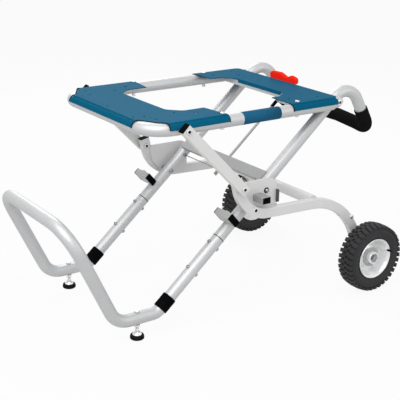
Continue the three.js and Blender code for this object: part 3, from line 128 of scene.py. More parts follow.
def startBox(name, centre, turn, width, depth, corner=0):
    # a rectangle, width along the turn's x and depth along its y, with rounded corners if asked
    deselectAll()
    bpy.ops.mesh.primitive_plane_add(size=1, location=centre, rotation=turn.to_euler())
    bpy.context.object.name = name
    bpy.context.object.scale = (width, depth, 1)
    bpy.ops.object.transform_apply(location=False, rotation=False, scale=True)
    piece = startEditing()
    if corner > 0:
        bpy.ops.mesh.bevel(offset=corner, segments=meshing["cornerSegments"], affect="VERTICES")
        bpy.ops.mesh.select_all(action="SELECT")
    return piece


def startOutline(name, points):
    # a flat face with the outline's corners, in object mode
    deselectAll()
    bpy.ops.mesh.primitive_circle_add(vertices=len(points), radius=1, fill_type="NGON")
    piece = bpy.context.object
    piece.name = name
    for vertex, point in zip(piece.data.vertices, points):
        vertex.co = point
    return piece


def pull(step):
    bpy.ops.mesh.extrude_region_move(TRANSFORM_OT_translate={"value": step})


def widen(factor, centre):
    bpy.ops.transform.resize(value=factor, center_override=centre)


def followPath(corners, radii):
    # straight runs are pulled, bends are spun about their own centre
    place = corners[0]
    for i in range(1, len(corners) - 1):
        into = (corners[i] - corners[i - 1]).normalized()
        out = (corners[i + 1] - corners[i]).normalized()
        turn = into.angle(out)
        reach = radii[i - 1] * math.tan(turn / 2)
        start = corners[i] - into * reach
        if (start - place).length > meshing["shortest"]:
            pull(start - place)
        inward = (out - into * out.dot(into)).normalized()
        bpy.ops.mesh.spin(steps=max(2, round(turn / meshing["bendStep"])), angle=turn,
                          center=start + inward * radii[i - 1], axis=out.cross(into).normalized())
        place = corners[i] + out * reach
    pull(corners[-1] - place)


def useModifier(piece, kind, **values):
    takeUp(piece)
    modifier = piece.modifiers.new(kind.lower(), kind)
    for key, value in values.items():
        setattr(modifier, key, value)
    bpy.ops.object.modifier_apply(modifier=modifier.name)


def bevelEdges(piece, width, segments, angle):
    useModifier(piece, "BEVEL", width=width, segments=segments, limit_method="ANGLE",
                angle_limit=math.radians(angle))


def openEnds(piece):
    # takes out the two many-sided end faces of a tube
    bpy.ops.mesh.select_mode(type="FACE")
    bpy.ops.mesh.select_all(action="DESELECT")
    bpy.ops.object.mode_set(mode="OBJECT")
    for face in piece.data.polygons:
        face.select = len(face.vertices) > 4
    bpy.ops.object.mode_set(mode="EDIT")
    bpy.ops.mesh.delete(type="FACE")
    bpy.ops.mesh.select_mode(type="VERT")


def cleanNormals():
    bpy.ops.mesh.select_all(action="SELECT")
    bpy.ops.mesh.remove_doubles(threshold=meshing["merge"])
    bpy.ops.mesh.normals_make_consistent(inside=False)


def smoothShading(piece, angle=meshing["smooth"]):
    takeUp(piece)
    bpy.ops.object.shade_smooth_by_angle(angle=math.radians(angle))


def flattenShading(piece):
    # large faces keep their own normals beside small rounded edges
    useModifier(piece, "WEIGHTED_NORMAL", keep_sharp=True, weight=meshing["faceWeight"])


def closeMesh(piece, wall=0, bevel=0, segments=2, smooth=meshing["smooth"]):
    # back to object mode with clean normals, its place in its mesh
    if piece.mode == "EDIT":
        cleanNormals()
        if wall > 0:
            openEnds(piece)
        bpy.ops.object.mode_set(mode="OBJECT")
    takeUp(piece)
    bpy.ops.object.transform_apply(location=True, rotation=True, scale=True)
    if wall > 0:
        useModifier(piece, "SOLIDIFY", thickness=wall, offset=-1, use_even_offset=True)
    if bevel > 0:
        bevelEdges(piece, bevel, segments, meshing["bevelAngle"])
    smoothShading(piece, smooth)
    if bevel > 0 and segments < 4:
        flattenShading(piece)
    return piece


def joinPieces(pieces, name):
    deselectAll()
    for piece in pieces:
        piece.select_set(True)
    bpy.context.view_layer.objects.active = pieces[0]
    bpy.ops.object.join()
    pieces[0].name = name
    return pieces[0]


def cutAway(piece, cutters):
    cutter = joinPieces(cutters, "cutter")
    useModifier(piece, "BOOLEAN", operation="DIFFERENCE", solver="EXACT", object=cutter)
    bpy.data.objects.remove(cutter)


def mirrorHalf(half):
    return half + [Vector((p.x, -p.y, p.z)) for p in reversed(half)]


def bentTube(name, corners, radii, diameter, wall=0, sides=40):
    way = (corners[1] - corners[0]).normalized()
    piece = startRing(name, corners[0], way, diameter / 2, sides)
    followPath(corners, radii)
    return closeMesh(piece, wall=wall)


def turnedPiece(name, origin, way, profile, sides=28, bevel=0):
    # profile: (distance along the way, diameter) pairs, each a ring pulled from the last
    way = way.normalized()
    along, diameter = profile[0]
    piece = startRing(name, origin + way * along, way, diameter / 2, sides)
    for nextAlong, nextDiameter in profile[1:]:
        pull(way * (nextAlong - along))
        factor = nextDiameter / diameter
        if abs(factor - 1) > meshing["sameSize"]:
            widen((factor, factor, factor), origin + way * nextAlong)
        along, diameter = nextAlong, nextDiameter
    return closeMesh(piece, bevel=bevel)


def barTurn(way):
    # width in the side view, depth across it
    return turnOf(across(1).cross(way), across(1))


def boxBar(name, corners, radii, bar):
    # a rectangular tube that runs in the side view
    way = (corners[1] - corners[0]).normalized()
    piece = startBox(name, corners[0], barTurn(way), bar["width"], bar["depth"], bar["corner"])
    followPath(corners, radii)
    closeMesh(piece, wall=bar["wall"])
    flattenShading(piece)
    return piece


def outlinePiece(name, points, step, bevel=0, segments=2, smooth=meshing["smooth"]):
    # a flat face given the outline's corners, then pulled to its thickness
    startOutline(name, points)
    piece = startEditing()
    pull(step)
    return closeMesh(piece, bevel=bevel, segments=segments, smooth=smooth)


def roundCorners(corners, segments=6):
    # (x, y, radius) corners to a list of 2-D points
    points = []
    for i, (x, y, radius) in enumerate(corners):
        here = Vector((x, y))
        if radius == 0:
            points.append(here)
            continue
        into = (here - Vector(corners[i - 1][:2])).normalized()
        out = (Vector(corners[(i + 1) % len(corners)][:2]) - here).normalized()
        turn = into.angle(out)
        inward = (out - into * out.dot(into)).normalized()
        start = here - into * radius * math.tan(turn / 2)
        for k in range(segments + 1):
            angle = turn * k / segments
            points.append(start + into * radius * math.sin(angle) + inward * radius * (1 - math.cos(angle)))
    return points


# shared material effects
grainLook = {"fineDetail": 4, "broadScale": 9, "broadDetail": 2, "fineShare": 0.35, "middle": 0.67}
marksLook = {"scale": 22.0, "detail": 6, "roughness": 0.7, "from": 0.52, "to": 0.74, "lowNormal": -0.6,
             "lowShare": 0.3}
bumpDistance = 0.0006


def addNode(tree, kind, inputs, **settings):
    # an input is given a value, or another node's output to read
    node = tree.nodes.new(kind)
    for key, value in settings.items():
        setattr(node, key, value)
    for key, value in inputs.items():
        if isinstance(value, bpy.types.NodeSocket):
            tree.links.new(value, node.inputs[key])
        else:
            node.inputs[key].default_value = value
    return node


def addMath(tree, operation, *values, clamp=False):
    node = addNode(tree, "ShaderNodeMath", dict(enumerate(values)), operation=operation, use_clamp=clamp)
    return node.outputs[0]


def mixColours(tree, factor, first, second):
    inputs = {"Factor": factor, "A": first, "B": second}
    return addNode(tree, "ShaderNodeMix", inputs, data_type="RGBA").outputs["Result"]


def newGroup(name, values, outputs):
    # every group reads a vector, then its own named values
    group = bpy.data.node_groups.new(name, "ShaderNodeTree")
    group.interface.new_socket(name="Vector", in_out="INPUT", socket_type="NodeSocketVector")
    for label, value in values.items():
        socket = group.interface.new_socket(name=label, in_out="INPUT", socket_type="NodeSocketFloat")
        socket.default_value = value
    for label in outputs:
        group.interface.new_socket(name=label, in_out="OUTPUT", socket_type="NodeSocketFloat")
    return group, group.nodes.new("NodeGroupInput").outputs, group.nodes.new("NodeGroupOutput").inputs


def makeGrain():
    # fine mottling of a coat or a drawn surface: a tint factor, a roughness and a height
    g = grainLook
    tree, given, result = newGroup("surfaceGrain", {"Scale": 400.0, "Roughness": 0.4, "Spread": 0.1},
                                   ("Tint", "Roughness", "Height"))
    fine = addNode(tree, "ShaderNodeTexNoise", {
        "Vector": given["Vector"], "Scale": given["Scale"], "Detail": g["fineDetail"]}).outputs["Fac"]
    broad = addNode(tree, "ShaderNodeTexNoise", {
        "Vector": given["Vector"], "Scale": g["broadScale"], "Detail": g["broadDetail"]}).outputs["Fac"]
    both = addMath(tree, "MULTIPLY_ADD", fine, g["fineShare"], broad)
    centred = addMath(tree, "SUBTRACT", both, g["middle"])
    rough = addMath(tree, "MULTIPLY_ADD", centred, given["Spread"], given["Roughness"], clamp=True)
    for label, output in (("Tint", both), ("Roughness", rough), ("Height", fine)):
        tree.links.new(output, result[label])
    return tree


def makeDust():
    # handling marks: a mask of sparse scuffs and dust, stronger on faces that look up
    m = marksLook
    tree, given, result = newGroup("handlingMarks", {"Scale": m["scale"], "Amount": 0.2}, ("Mask",))
    patches = addNode(tree, "ShaderNodeTexNoise", {
        "Vector": given["Vector"], "Scale": given["Scale"], "Detail": m["detail"],
        "Roughness": m["roughness"]})
    narrow = addNode(tree, "ShaderNodeMapRange", {
        "Value": patches.outputs["Fac"], "From Min": m["from"], "From Max": m["to"]})
    surface = addNode(tree, "ShaderNodeNewGeometry", {})
    split = addNode(tree, "ShaderNodeSeparateXYZ", {0: surface.outputs["Normal"]})
    upward = addNode(tree, "ShaderNodeMapRange", {
        "Value": split.outputs["Z"], "From Min": m["lowNormal"], "To Min": m["lowShare"]})
    both = addMath(tree, "MULTIPLY", narrow.outputs["Result"], upward.outputs["Result"])
    tree.links.new(addMath(tree, "MULTIPLY", both, given["Amount"]), result["Mask"])
    return tree


grainGroup = makeGrain()
dustGroup = makeDust()

# finishes: the slot, the colour, its darker mate, the colour of its marks, then the other values named here
lookNames = ("slot", "colour", "shade", "marks", "metal", "rough", "spread", "scale", "bump", "amount", "ior")
finishes = {
    "aluminium": ("aluminium", (0.54, 0.545, 0.55), (0.49, 0.495, 0.50), (0.43, 0.435, 0.44),
                  0.5, 0.46, 0.03, 1500, 0.004, 0.12, 1.3),
    "greySteel": ("grey_steel", (0.68, 0.68, 0.675), (0.63, 0.63, 0.625), (0.48, 0.48, 0.47),
                  0.15, 0.42, 0.08, 700, 0.03, 0.18, 1.3),
    # painted shade: a darker copy of the grey steel, for the bearing blocks and the rim's hub ring
    "shadedGreySteel": ("grey_steel", (0.44, 0.44, 0.435), (0.38, 0.38, 0.375), (0.32, 0.32, 0.31),
                   0.2, 0.42, 0.08, 700, 0.03, 0.2, 1.3),
    "dullSteel": ("dull_steel", (0.38, 0.38, 0.38), (0.32, 0.32, 0.32), (0.27, 0.27, 0.27),
                  0.3, 0.5, 0.12, 500, 0.04, 0.3, 1.3),
    # painted shade: a near-black copy of the dull steel, used only on the gusset's flange to stand in for the
    # shade on its face
    "paintedShadeSteel": ("dull_steel", (0.10, 0.10, 0.10), (0.07, 0.07, 0.07), (0.16, 0.16, 0.16),
                  0.3, 0.5, 0.12, 500, 0.04, 0.3, 1.3),
    "zincSteel": ("zinc_steel", (0.36, 0.36, 0.37), (0.22, 0.22, 0.23), (0.3, 0.29, 0.27),
                  0.95, 0.24, 0.2, 1200, 0.05, 0.4, 1.5),
    "brightZinc": ("zinc_steel", (0.80, 0.80, 0.80), (0.66, 0.66, 0.66), (0.5, 0.5, 0.49),
                   0.85, 0.28, 0.1, 1200, 0.03, 0.3, 1.5),
    "bluePaint": ("blue_paint", (0.003, 0.094, 0.174), (0.002, 0.083, 0.155), (0.02, 0.13, 0.21),
                  0.0, 0.36, 0.06, 800, 0.03, 0.2, 1.04),
    "labelFilm": ("blue_paint", (0.014, 0.100, 0.190), (0.012, 0.090, 0.175), (0.03, 0.13, 0.22),
                  0.0, 0.35, 0.06, 300, 0.02, 0.15, 1.06),
    "blackPlastic": ("black_plastic", (0.004, 0.004, 0.0045), (0.002, 0.002, 0.0025), (0.015, 0.015, 0.015),
                     0.0, 0.45, 0.12, 600, 0.08, 0.25, 1.04),
    "blackRubber": ("black_rubber", (0.010, 0.010, 0.011), (0.006, 0.006, 0.007), (0.04, 0.038, 0.035),
                    0.0, 0.75, 0.2, 500, 0.12, 0.35, 1.12),
    "tyreRubber": ("tyre_rubber", (0.036, 0.036, 0.038), (0.024, 0.024, 0.026), (0.055, 0.055, 0.057),
                   0.0, 0.62, 0.2, 420, 0.15, 0.5, 1.25),
    "foam": ("black_foam", (0.009, 0.009, 0.010), (0.004, 0.004, 0.004), (0.02, 0.02, 0.02),
             0.0, 0.92, 0.1, 650, 0.5, 0.3, 1.08),
    "whitePaint": ("white_paint", (0.82, 0.825, 0.83), (0.72, 0.725, 0.73), (0.48, 0.48, 0.48),
                   0.35, 0.24, 0.08, 600, 0.02, 0.25, 1.45),
    "redPlastic": ("red_plastic", (0.98, 0.024, 0.009), (0.88, 0.020, 0.008), (0.75, 0.03, 0.02),
                   0.0, 0.40, 0.08, 500, 0.04, 0.15, 1.05),
}
looks = {name: dict(zip(lookNames, values)) for name, values in finishes.items()}


def makeMaterial(name, look):
    material = bpy.data.materials.new(name)
    material.use_nodes = True
    tree = material.node_tree
    spot = addNode(tree, "ShaderNodeTexCoord", {}).outputs["Object"]
    grain = addNode(tree, "ShaderNodeGroup", {
        "Vector": spot, "Scale": look["scale"], "Roughness": look["rough"], "Spread": look["spread"],
    }, node_tree=grainGroup).outputs
    marks = addNode(tree, "ShaderNodeGroup", {"Vector": spot, "Amount": look["amount"]}, node_tree=dustGroup)
    tint = mixColours(tree, grain["Tint"], (*look["shade"], 1), (*look["colour"], 1))
    worn = mixColours(tree, marks.outputs["Mask"], tint, (*look["marks"], 1))
    bump = addNode(tree, "ShaderNodeBump", {
        "Strength": look["bump"], "Distance": bumpDistance, "Height": grain["Height"]})
    shader = tree.nodes["Principled BSDF"].inputs
    shader["Metallic"].default_value = look["metal"]
    shader["IOR"].default_value = look["ior"]
    tree.links.new(worn, shader["Base Color"])
    tree.links.new(grain["Roughness"], shader["Roughness"])
    tree.links.new(bump.outputs["Normal"], shader["Normal"])
    return material


materials = {name: makeMaterial(name, look) for name, look in looks.items()}
print("materials made")


def place(piece, body, finish, *nodes):
    piece.data.materials.clear()
    piece.data.materials.append(materials[finish])
    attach(piece, body)
    if nodes:
        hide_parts(*nodes)
    return piece


# leg frame tubes
legTube = {"upper": 0.035, "lower": 0.036, "wall": 0.0025, "seam": 0.534}
collar = {"top": 0.750, "length": 0.044, "width": 0.0418, "lip": 0.0014, "grooveHalf": 0.0012,
          "grooveSlope": 0.0008, "grooveDepth": 0.001}
# painted shadow: a thin black ring at the leg seam stands in for the gap's shadow
seamShadowRing = {"above": 0.0008, "length": 0.0020, "rise": 0.0012, "chamfer": 0.0004, "chamferRise": 0.0006}
foot = {"runHeight": 0.061, "riseX": -0.39525, "barX": -0.53475, "barHeight": 0.355,
        "bends": [0.036, 0.062, 0.085]}
handle = {"start": 0.011, "bend": 0.060, "dropSlope": math.radians(60.7), "drop": 0.188,
          "cornerBend": 0.038, "bow": 0.032, "bowBend": 0.9}
grip = {"onDrop": 0.078, "diameter": 0.041, "wall": 0.0026, "edge": 0.0008, "edgeAngle": 60,
        "sides": 48}


def makeFootLoop():
    knee = (plan["pivotZ"] - foot["runHeight"]) / math.sin(plan["legSlope"])
    y = -plan["frameHalf"]
    top = collar["top"] + collar["length"] / 2 + gap
    half = [legPoint(top, 0, y), legPoint(knee, 0, y), Vector((foot["riseX"], y, foot["runHeight"])),
            Vector((foot["barX"], y, foot["barHeight"]))]
    bends = foot["bends"] + foot["bends"][::-1]
    piece = bentTube("footLoopTube", mirrorHalf(half), bends, legTube["lower"], legTube["wall"])
    place(piece, "leg_frame", "aluminium", "foot_loop")


dropWay = Vector((math.cos(handle["dropSlope"]), 0, -math.sin(handle["dropSlope"])))
gripOut = Vector((math.sin(handle["dropSlope"]), 0, math.cos(handle["dropSlope"])))
handlePeak = handle["start"] + handle["bend"] * math.tan((plan["legSlope"] + handle["dropSlope"]) / 2)


def gripCorner(y):
    return legPoint(-handlePeak, 0, y) + dropWay * handle["drop"]


def bowedCorners(half):
    # the crossbar between the two halves bows out in the middle
    corners = mirrorHalf(half)
    corners.insert(len(half), gripCorner(0) + gripOut * handle["bow"])
    return corners


def makeHandle():
    y = -plan["frameHalf"]
    half = [legPoint(legTube["seam"] - gap, 0, y), legPoint(-handlePeak, 0, y), gripCorner(y)]
    bends = [handle["bend"], handle["cornerBend"]]
    piece = bentTube("handleTube", bowedCorners(half), bends + [handle["bowBend"]] + bends[::-1],
                     legTube["upper"], legTube["wall"])
    place(piece, "leg_frame", "aluminium", "handle_tube")


def makeGrip():
    y = -plan["frameHalf"]
    half = [gripCorner(y) - dropWay * grip["onDrop"], gripCorner(y)]
    bends = [handle["cornerBend"], handle["bowBend"], handle["cornerBend"]]
    piece = bentTube("foamGripSleeve", bowedCorners(half), bends, grip["diameter"], grip["wall"],
                     sides=grip["sides"])
    bevelEdges(piece, grip["edge"], 2, grip["edgeAngle"])
    place(piece, "leg_frame", "foam", "foam_grip")


def makeLowerLeg(word, y):
    low = collar["top"] + collar["length"] / 2
    leg = bentTube(f"lowerLegTube_{word}", [legPoint(legTube["seam"], 0, y), legPoint(low, 0, y)], [],
                   legTube["lower"], legTube["wall"] - gap)
    place(leg, "leg_frame", "aluminium", f"lower_leg_{word}")


def makeCollar(word, y):
    # a plastic sleeve with a shallow groove round its middle
    middle, width, lip = collar["length"] / 2, collar["width"], collar["lip"]
    groove, ramp = collar["grooveHalf"], collar["grooveHalf"] + collar["grooveSlope"]
    narrow = width - collar["grooveDepth"]
    sleeve = turnedPiece(f"legCollarSleeve_{word}", legPoint(collar["top"], 0, y), -legUp, [
        (0, width - 2 * lip), (lip, width), (middle - ramp, width), (middle - groove, narrow),
        (middle + groove, narrow), (middle + ramp, width), (collar["length"] - lip, width),
        (collar["length"], width - 2 * lip),
    ], sides=40)
    place(sleeve, "leg_frame", "blackPlastic", f"leg_collar_{word}")


def makeSeamShadowRing(word, y):
    # painted shadow: a thin black ring standing in for the shadow of the gap where the upper leg meets the
    # lower one
    r = seamShadowRing
    width = legTube["lower"] + r["rise"]
    edge = width - r["chamferRise"]
    ring = turnedPiece(f"legSeamShadowRing_{word}", legPoint(legTube["seam"] - r["above"], 0, y), -legUp, [
        (0, edge), (r["chamfer"], width), (r["length"] - r["chamfer"], width), (r["length"], edge)], sides=40)
    place(ring, "leg_frame", "blackPlastic")


makeFootLoop()
makeHandle()
makeGrip()
for word, sign in sideNames.items():
    for makeIt in (makeLowerLeg, makeCollar, makeSeamShadowRing):
        makeIt(word, sign * plan["frameHalf"])
print("leg frame tubes made")

# deck
deckTube = {"diameter": 0.035, "frontX": -0.30635, "bend": 0.072, "flatStart": 0.32625,
            "flat": 0.012, "blend": 0.014, "roundSteps": 9, "roundStep": 10, "tipShare": 0.12}


def flatEnd(word, sign):
    # the tube flattens towards its inner side, then runs on round the pivot
    d = deckTube
    half = d["diameter"] / 2
    inner = sign * (plan["deckHalf"] - half)
    z = plan["pivotZ"]
    start = Vector((d["flatStart"] - d["blend"], sign * plan["deckHalf"], z))
    end = startRing(f"deckTubeEnd_{word}", start, Vector((1, 0, 0)), half, 40)
    pull((d["blend"], 0, 0))
    widen((1, d["flat"] / d["diameter"], 1), Vector((d["flatStart"], inner, z)))
    x, high = d["flatStart"], 1.0
    for k in range(d["roundSteps"]):
        angle = math.radians(d["roundStep"] * k)
        nextX = plan["pivotX"] + half * math.sin(angle)
        nextHigh = max(math.cos(angle), d["tipShare"])
        pull((nextX - x, 0, 0))
        widen((1, 1, nextHigh / high), Vector((nextX, inner, z)))
        x, high = nextX, nextHigh
    return closeMesh(end)


def makeDeckTube():
    y, z = -plan["deckHalf"], plan["pivotZ"]
    start = deckTube["flatStart"] - deckTube["blend"]
    corners = mirrorHalf([Vector((start, y, z)), Vector((deckTube["frontX"], y, z))])
    tube = bentTube("deckTubeFrame", corners, [deckTube["bend"]] * 2, deckTube["diameter"])
    ends = [flatEnd(word, sign) for word, sign in sideNames.items()]
    place(joinPieces([tube] + ends, "deckTubeFrame"), "deck", "aluminium", "deck_tube")


deckScrew = {"front": -0.07575, "rear": 0.18525, "y": 0.2315, "hole": 0.0066, "head": 0.013,
             "headHeight": 0.0035, "nut": 0.011, "nutHeight": 0.006, "shank": 0.006, "nutLap": 0.0055}
plate = {"thick": 0.0025, "bridgeHalf": 0.115, "armInner": 0.150, "corner": 0.026, "flange": 0.010,
         "flangeBend": 0.0012, "tubeRadius": 0.0175, "hole": 0.0075, "slot": 0.0115, "lapIn": 0.004,
         "cutDepth": 0.012, "edge": 0.0005, "edgeAngle": 50, "screw": deckScrew["hole"]}
frontPlate = {"frontX": -0.30635, "wrapHalf": 0.172, "bandStart": -0.25675, "bandEnd": -0.06875,
              "innerX": -0.18275, "armX": -0.07975, "notch": 0.0195, "notchBend": 0.03, "lapOut": 0.0015}
rearPlate = {"rearX": 0.32825, "innerX": 0.22625, "armX": 0.15825, "bandStart": 0.15525, "bandEnd": 0.3195}
# holes as (x, y, kind), where the kind names a size in plate
frontHoles = [(-0.29835, 0, "hole"), (frontPlate["innerX"], 0.157, "hole"), (-0.131, 0.186, "slot"),
              (-0.27135, 0.150, "hole"), (-0.262, 0.193, "hole"), (-0.2998, 0.143, "hole"),
              (deckScrew["front"], deckScrew["y"], "screw")]
rearHoles = [(0.27725, 0.2101, "hole"), (0.26325, 0.150, "hole"), (0.19225, 0.186, "hole"),
             (deckScrew["rear"], deckScrew["y"], "screw")]
# the rolled band's section: degrees from the top of the tube, and how deep the crease sinks there
bandSection = [(5, 0), (10, 0), (15, 0), (18, 0.0003), (20.5, 0.0019), (23, 0.0024), (29, 0.0024),
               (32, 0.0019), (34.5, 0.0003), (38, 0), (44, -0.0002), (50, -0.0001), (57, 0), (64, 0), (71, 0),
               (78, 0), (84, 0)]


def selectEdges(piece, test):
    # picks edges by their two ends, and leaves them selected in edit mode
    bpy.ops.object.mode_set(mode="EDIT")
    bpy.ops.mesh.select_mode(type="EDGE")
    bpy.ops.mesh.select_all(action="DESELECT")
    bpy.ops.object.mode_set(mode="OBJECT")
    points = piece.data.vertices
    for edge in piece.data.edges:
        a, b = (points[i].co for i in edge.vertices)
        edge.select = bool(test(a, b))
    bpy.ops.object.mode_set(mode="EDIT")


def bothAt(axis, value, flat=False):
    # a test for an edge whose ends both lie at a value, on the sheet itself if flat is asked
    def test(a, b):
        tolerance = meshing["onEdge"]
        onSheet = not flat or abs(a.z - plan["plateTop"]) < tolerance
        return abs(a[axis] - value) < tolerance and abs(b[axis] - value) < tolerance and onSheet
    return test


def rollBand(piece, test, outward):
    # from the sheet's edge down round the tube, with a crease pressed along the roll
    selectEdges(piece, test)
    radius = plate["tubeRadius"] + gap + plate["thick"]
    last = up * radius
    for degrees, sink in bandSection:
        angle = math.radians(degrees)
        spot = (outward * math.sin(angle) + up * math.cos(angle)) * (radius - sink)
        pull(spot - last)
        last = spot
    bpy.ops.object.mode_set(mode="OBJECT")


def flatSheet(name, half):
    points = roundCorners(half + [(x, -y, r) for x, y, r in reversed(half)])
    return startOutline(name, [(p.x, p.y, plan["plateTop"]) for p in points])


def innerCorners(data, sign):
    # the arm's end and the two rounded corners of the saw opening
    step = plate["armInner"] - plate["bridgeHalf"]
    return [(data["armX"], plate["armInner"], 0),
            (data["innerX"] + sign * step, plate["armInner"], plate["corner"]),
            (data["innerX"], plate["bridgeHalf"], plate["corner"])]


def finishSheet(piece, data, holes):
    # side bands and inner flange, then thickness, holes and eased edges
    edge = plan["deckHalf"]
    for sign in sideNames.values():
        rollBand(piece, bothAt(1, sign * edge, flat=True), across(sign))
    if "frontX" in data:
        rollBand(piece, bothAt(0, data["frontX"], flat=True), Vector((-1, 0, 0)))
    selectEdges(piece, bothAt(0, data["innerX"]))
    pull(-up * plate["flangeBend"])
    pull(-up * plate["flange"])
    cleanNormals()
    bpy.ops.object.mode_set(mode="OBJECT")
    if sum(face.normal.z * face.area for face in piece.data.polygons) < 0:
        bpy.ops.object.mode_set(mode="EDIT")
        bpy.ops.mesh.flip_normals()
        bpy.ops.object.mode_set(mode="OBJECT")
    useModifier(piece, "SOLIDIFY", thickness=plate["thick"], offset=-1, use_even_offset=True)
    cutters = []
    for x, y, kind in holes:
        for sign in ((-1, 1) if y else (1,)):
            low = Vector((x, sign * y, plan["plateTop"] - plate["cutDepth"]))
            cutters.append(turnedPiece("holeCutter", low, up, [
                (0, plate[kind]), (2 * plate["cutDepth"], plate[kind])], sides=20))
    cutAway(piece, cutters)
    bevelEdges(piece, plate["edge"], 2, plate["edgeAngle"])
    smoothShading(piece)
    flattenShading(piece)


def makeFrontPlate():
    f, edge = frontPlate, plan["deckHalf"]
    piece = flatSheet("frontSaddlePlate", [
        (f["frontX"], f["wrapHalf"], 0), (f["frontX"] + plate["lapIn"], f["wrapHalf"] + f["lapOut"], 0),
        (f["bandStart"] - f["notch"], edge - f["notch"], f["notchBend"]),
        (f["bandStart"] - f["lapOut"], edge - plate["lapIn"], 0),
        (f["bandStart"], edge, 0), (f["bandEnd"], edge, 0), *innerCorners(f, 1)])
    finishSheet(piece, f, frontHoles)
    place(piece, "deck", "bluePaint", "front_plate")


def makeRearPlate():
    r, edge = rearPlate, plan["deckHalf"]
    piece = flatSheet("rearSaddlePlate", [
        (r["rearX"], edge - plate["lapIn"], 0), (r["bandEnd"], edge, 0), (r["bandStart"], edge, 0),
        *innerCorners(r, -1)])
    finishSheet(piece, r, rearHoles)
    place(piece, "deck", "bluePaint", "rear_plate")


# painted shadow: thin black beads that stand in for the shadow gap at the sheet's cut edges
shadowGapBead = {"width": 0.0026, "radius": 0.0190, "footRise": 0.003, "frontTurn": 0.003, "frontLean": 0.0016,
            "notchStep": 0.001, "sideTurn": 0.003, "sideLap": 0.004, "sideBend": 0.018,
            "cornerBends": [0.018, 0.003, 0.026, 0.003, 0.015]}


# painted shadow: each bead is a thin black tube, in the black rubber finish, laid where the gap's shadow
# falls
def makeShadowGapBead(name, path, bends, sign):
    corners = [Vector((x, sign * y, z)) for x, y, z in path]
    place(bentTube(name, corners, bends, shadowGapBead["width"], sides=16), "deck", "blackRubber")


def makeShadowGapBeads(word, sign):
    # painted shadow: dark beads along the cut-out at each front corner and at the ends of the side bands,
    # standing in for the shadow gap between the sheet's edge and the tube
    e, f, edge = shadowGapBead, frontPlate, plan["deckHalf"]
    low, high = plan["pivotZ"] + e["footRise"], plan["pivotZ"] + e["radius"]
    half, outer = e["width"] / 2, edge + e["radius"]
    front, side, notch = f["wrapHalf"] + half, f["bandStart"] - half, f["notch"]
    ahead = f["frontX"] - e["radius"]
    makeShadowGapBead(f"cornerEdgeBead_{word}", [
        (ahead, front, low), (ahead, front, high),
        (f["frontX"] + e["frontTurn"], front + e["frontLean"], high),
        (f["bandStart"] - notch - e["notchStep"], edge - notch + e["notchStep"], high),
        (side, edge - e["sideTurn"], high), (side, outer, high), (side, outer, low)], e["cornerBends"], sign)
    for name, x in (("Front", f["bandEnd"] + half), ("Rear", rearPlate["bandStart"] - half)):
        path = [(x, edge - e["sideLap"], high), (x, outer, high), (x, outer, low)]
        makeShadowGapBead(f"side{name}ShadowGapBead_{word}", path, [e["sideBend"]], sign)


labelBand = {"fromX": -0.019, "toX": 0.110, "lift": 0.00015, "thick": 0.0002, "sides": 64}


def makeLabelBand():
    # a plain film band round the left side tube
    centre = Vector((labelBand["fromX"], -plan["deckHalf"], plan["pivotZ"]))
    radius = deckTube["diameter"] / 2 + labelBand["lift"]
    piece = startRing("labelBand", centre, Vector((1, 0, 0)), radius, labelBand["sides"], filled=False)
    pull((labelBand["toX"] - labelBand["fromX"], 0, 0))
    closeMesh(piece)
    useModifier(piece, "SOLIDIFY", thickness=labelBand["thick"], offset=1)
    place(piece, "deck", "labelFilm")


makeDeckTube()
makeFrontPlate()
makeRearPlate()
for word, sign in sideNames.items():
    makeShadowGapBeads(word, sign)
makeLabelBand()
print("deck made")

# links and wheel frame
linkBar = {"width": 0.030, "depth": 0.020, "corner": 0.0024, "wall": 0.0025, "middle": 0.270,
           "overhang": 0.010, "footEnd": 0.015}
wheelBar = {"width": 0.030, "depth": 0.020, "corner": 0.0024, "wall": 0.0025, "middle": 0.2433,
            "top": (-0.03375, 0.424), "knee": (-0.00425, 0.306), "hip": (0.39425, 0.293),
            "bends": [0.112, 0.200], "tail": 0.014, "boltAt": (0.4065, 0.2290)}
endCap = {"length": 0.003, "edge": 0.0009}
# how far from the middle plane each layer's faces stand
faces = {
    "legIn": plan["frameHalf"] - legTube["upper"] / 2 - gap,
    "legOut": plan["frameHalf"] + legTube["upper"] / 2 + gap,
    "deckIn": plan["deckHalf"] - deckTube["diameter"] / 2 - gap,
    "deckOut": plan["deckHalf"] + deckTube["diameter"] / 2 + gap,
    "flatOut": plan["deckHalf"] - deckTube["diameter"] / 2 + deckTube["flat"] + gap,
    "barIn": wheelBar["middle"] - wheelBar["depth"] / 2, "barOut": wheelBar["middle"] + wheelBar["depth"] / 2,
    "linkIn": linkBar["middle"] - linkBar["depth"] / 2, "linkOut": linkBar["middle"] + linkBar["depth"] / 2,
}
# the cup head's ring and socket: distance out from its seat, and the share of its width; the socket is a
# black disc, painted shade for its recess
cup = {"ring": [(0, 0.94), (0.0005, 1), (0.0026, 1), (0.0038, 0.93), (0.0042, 0.82), (0.0040, 0.62),
                (0.0018, 0.54)],
       "ringSides": 32, "socketRise": 0.0016, "socketDepth": 0.0010, "socketShare": 0.52}
linkStud = {"head": 0.0150, "headIn": 0.0015, "headOut": 0.0001, "shank": 0.010, "cupIn": 0.0010}
barBolt = {"profile": [(-0.0005, 0.0150), (0.0012, 0.0150), (0.0022, 0.0140), (0.0032, 0.0096),
                       (0.0034, 0.0040)]}


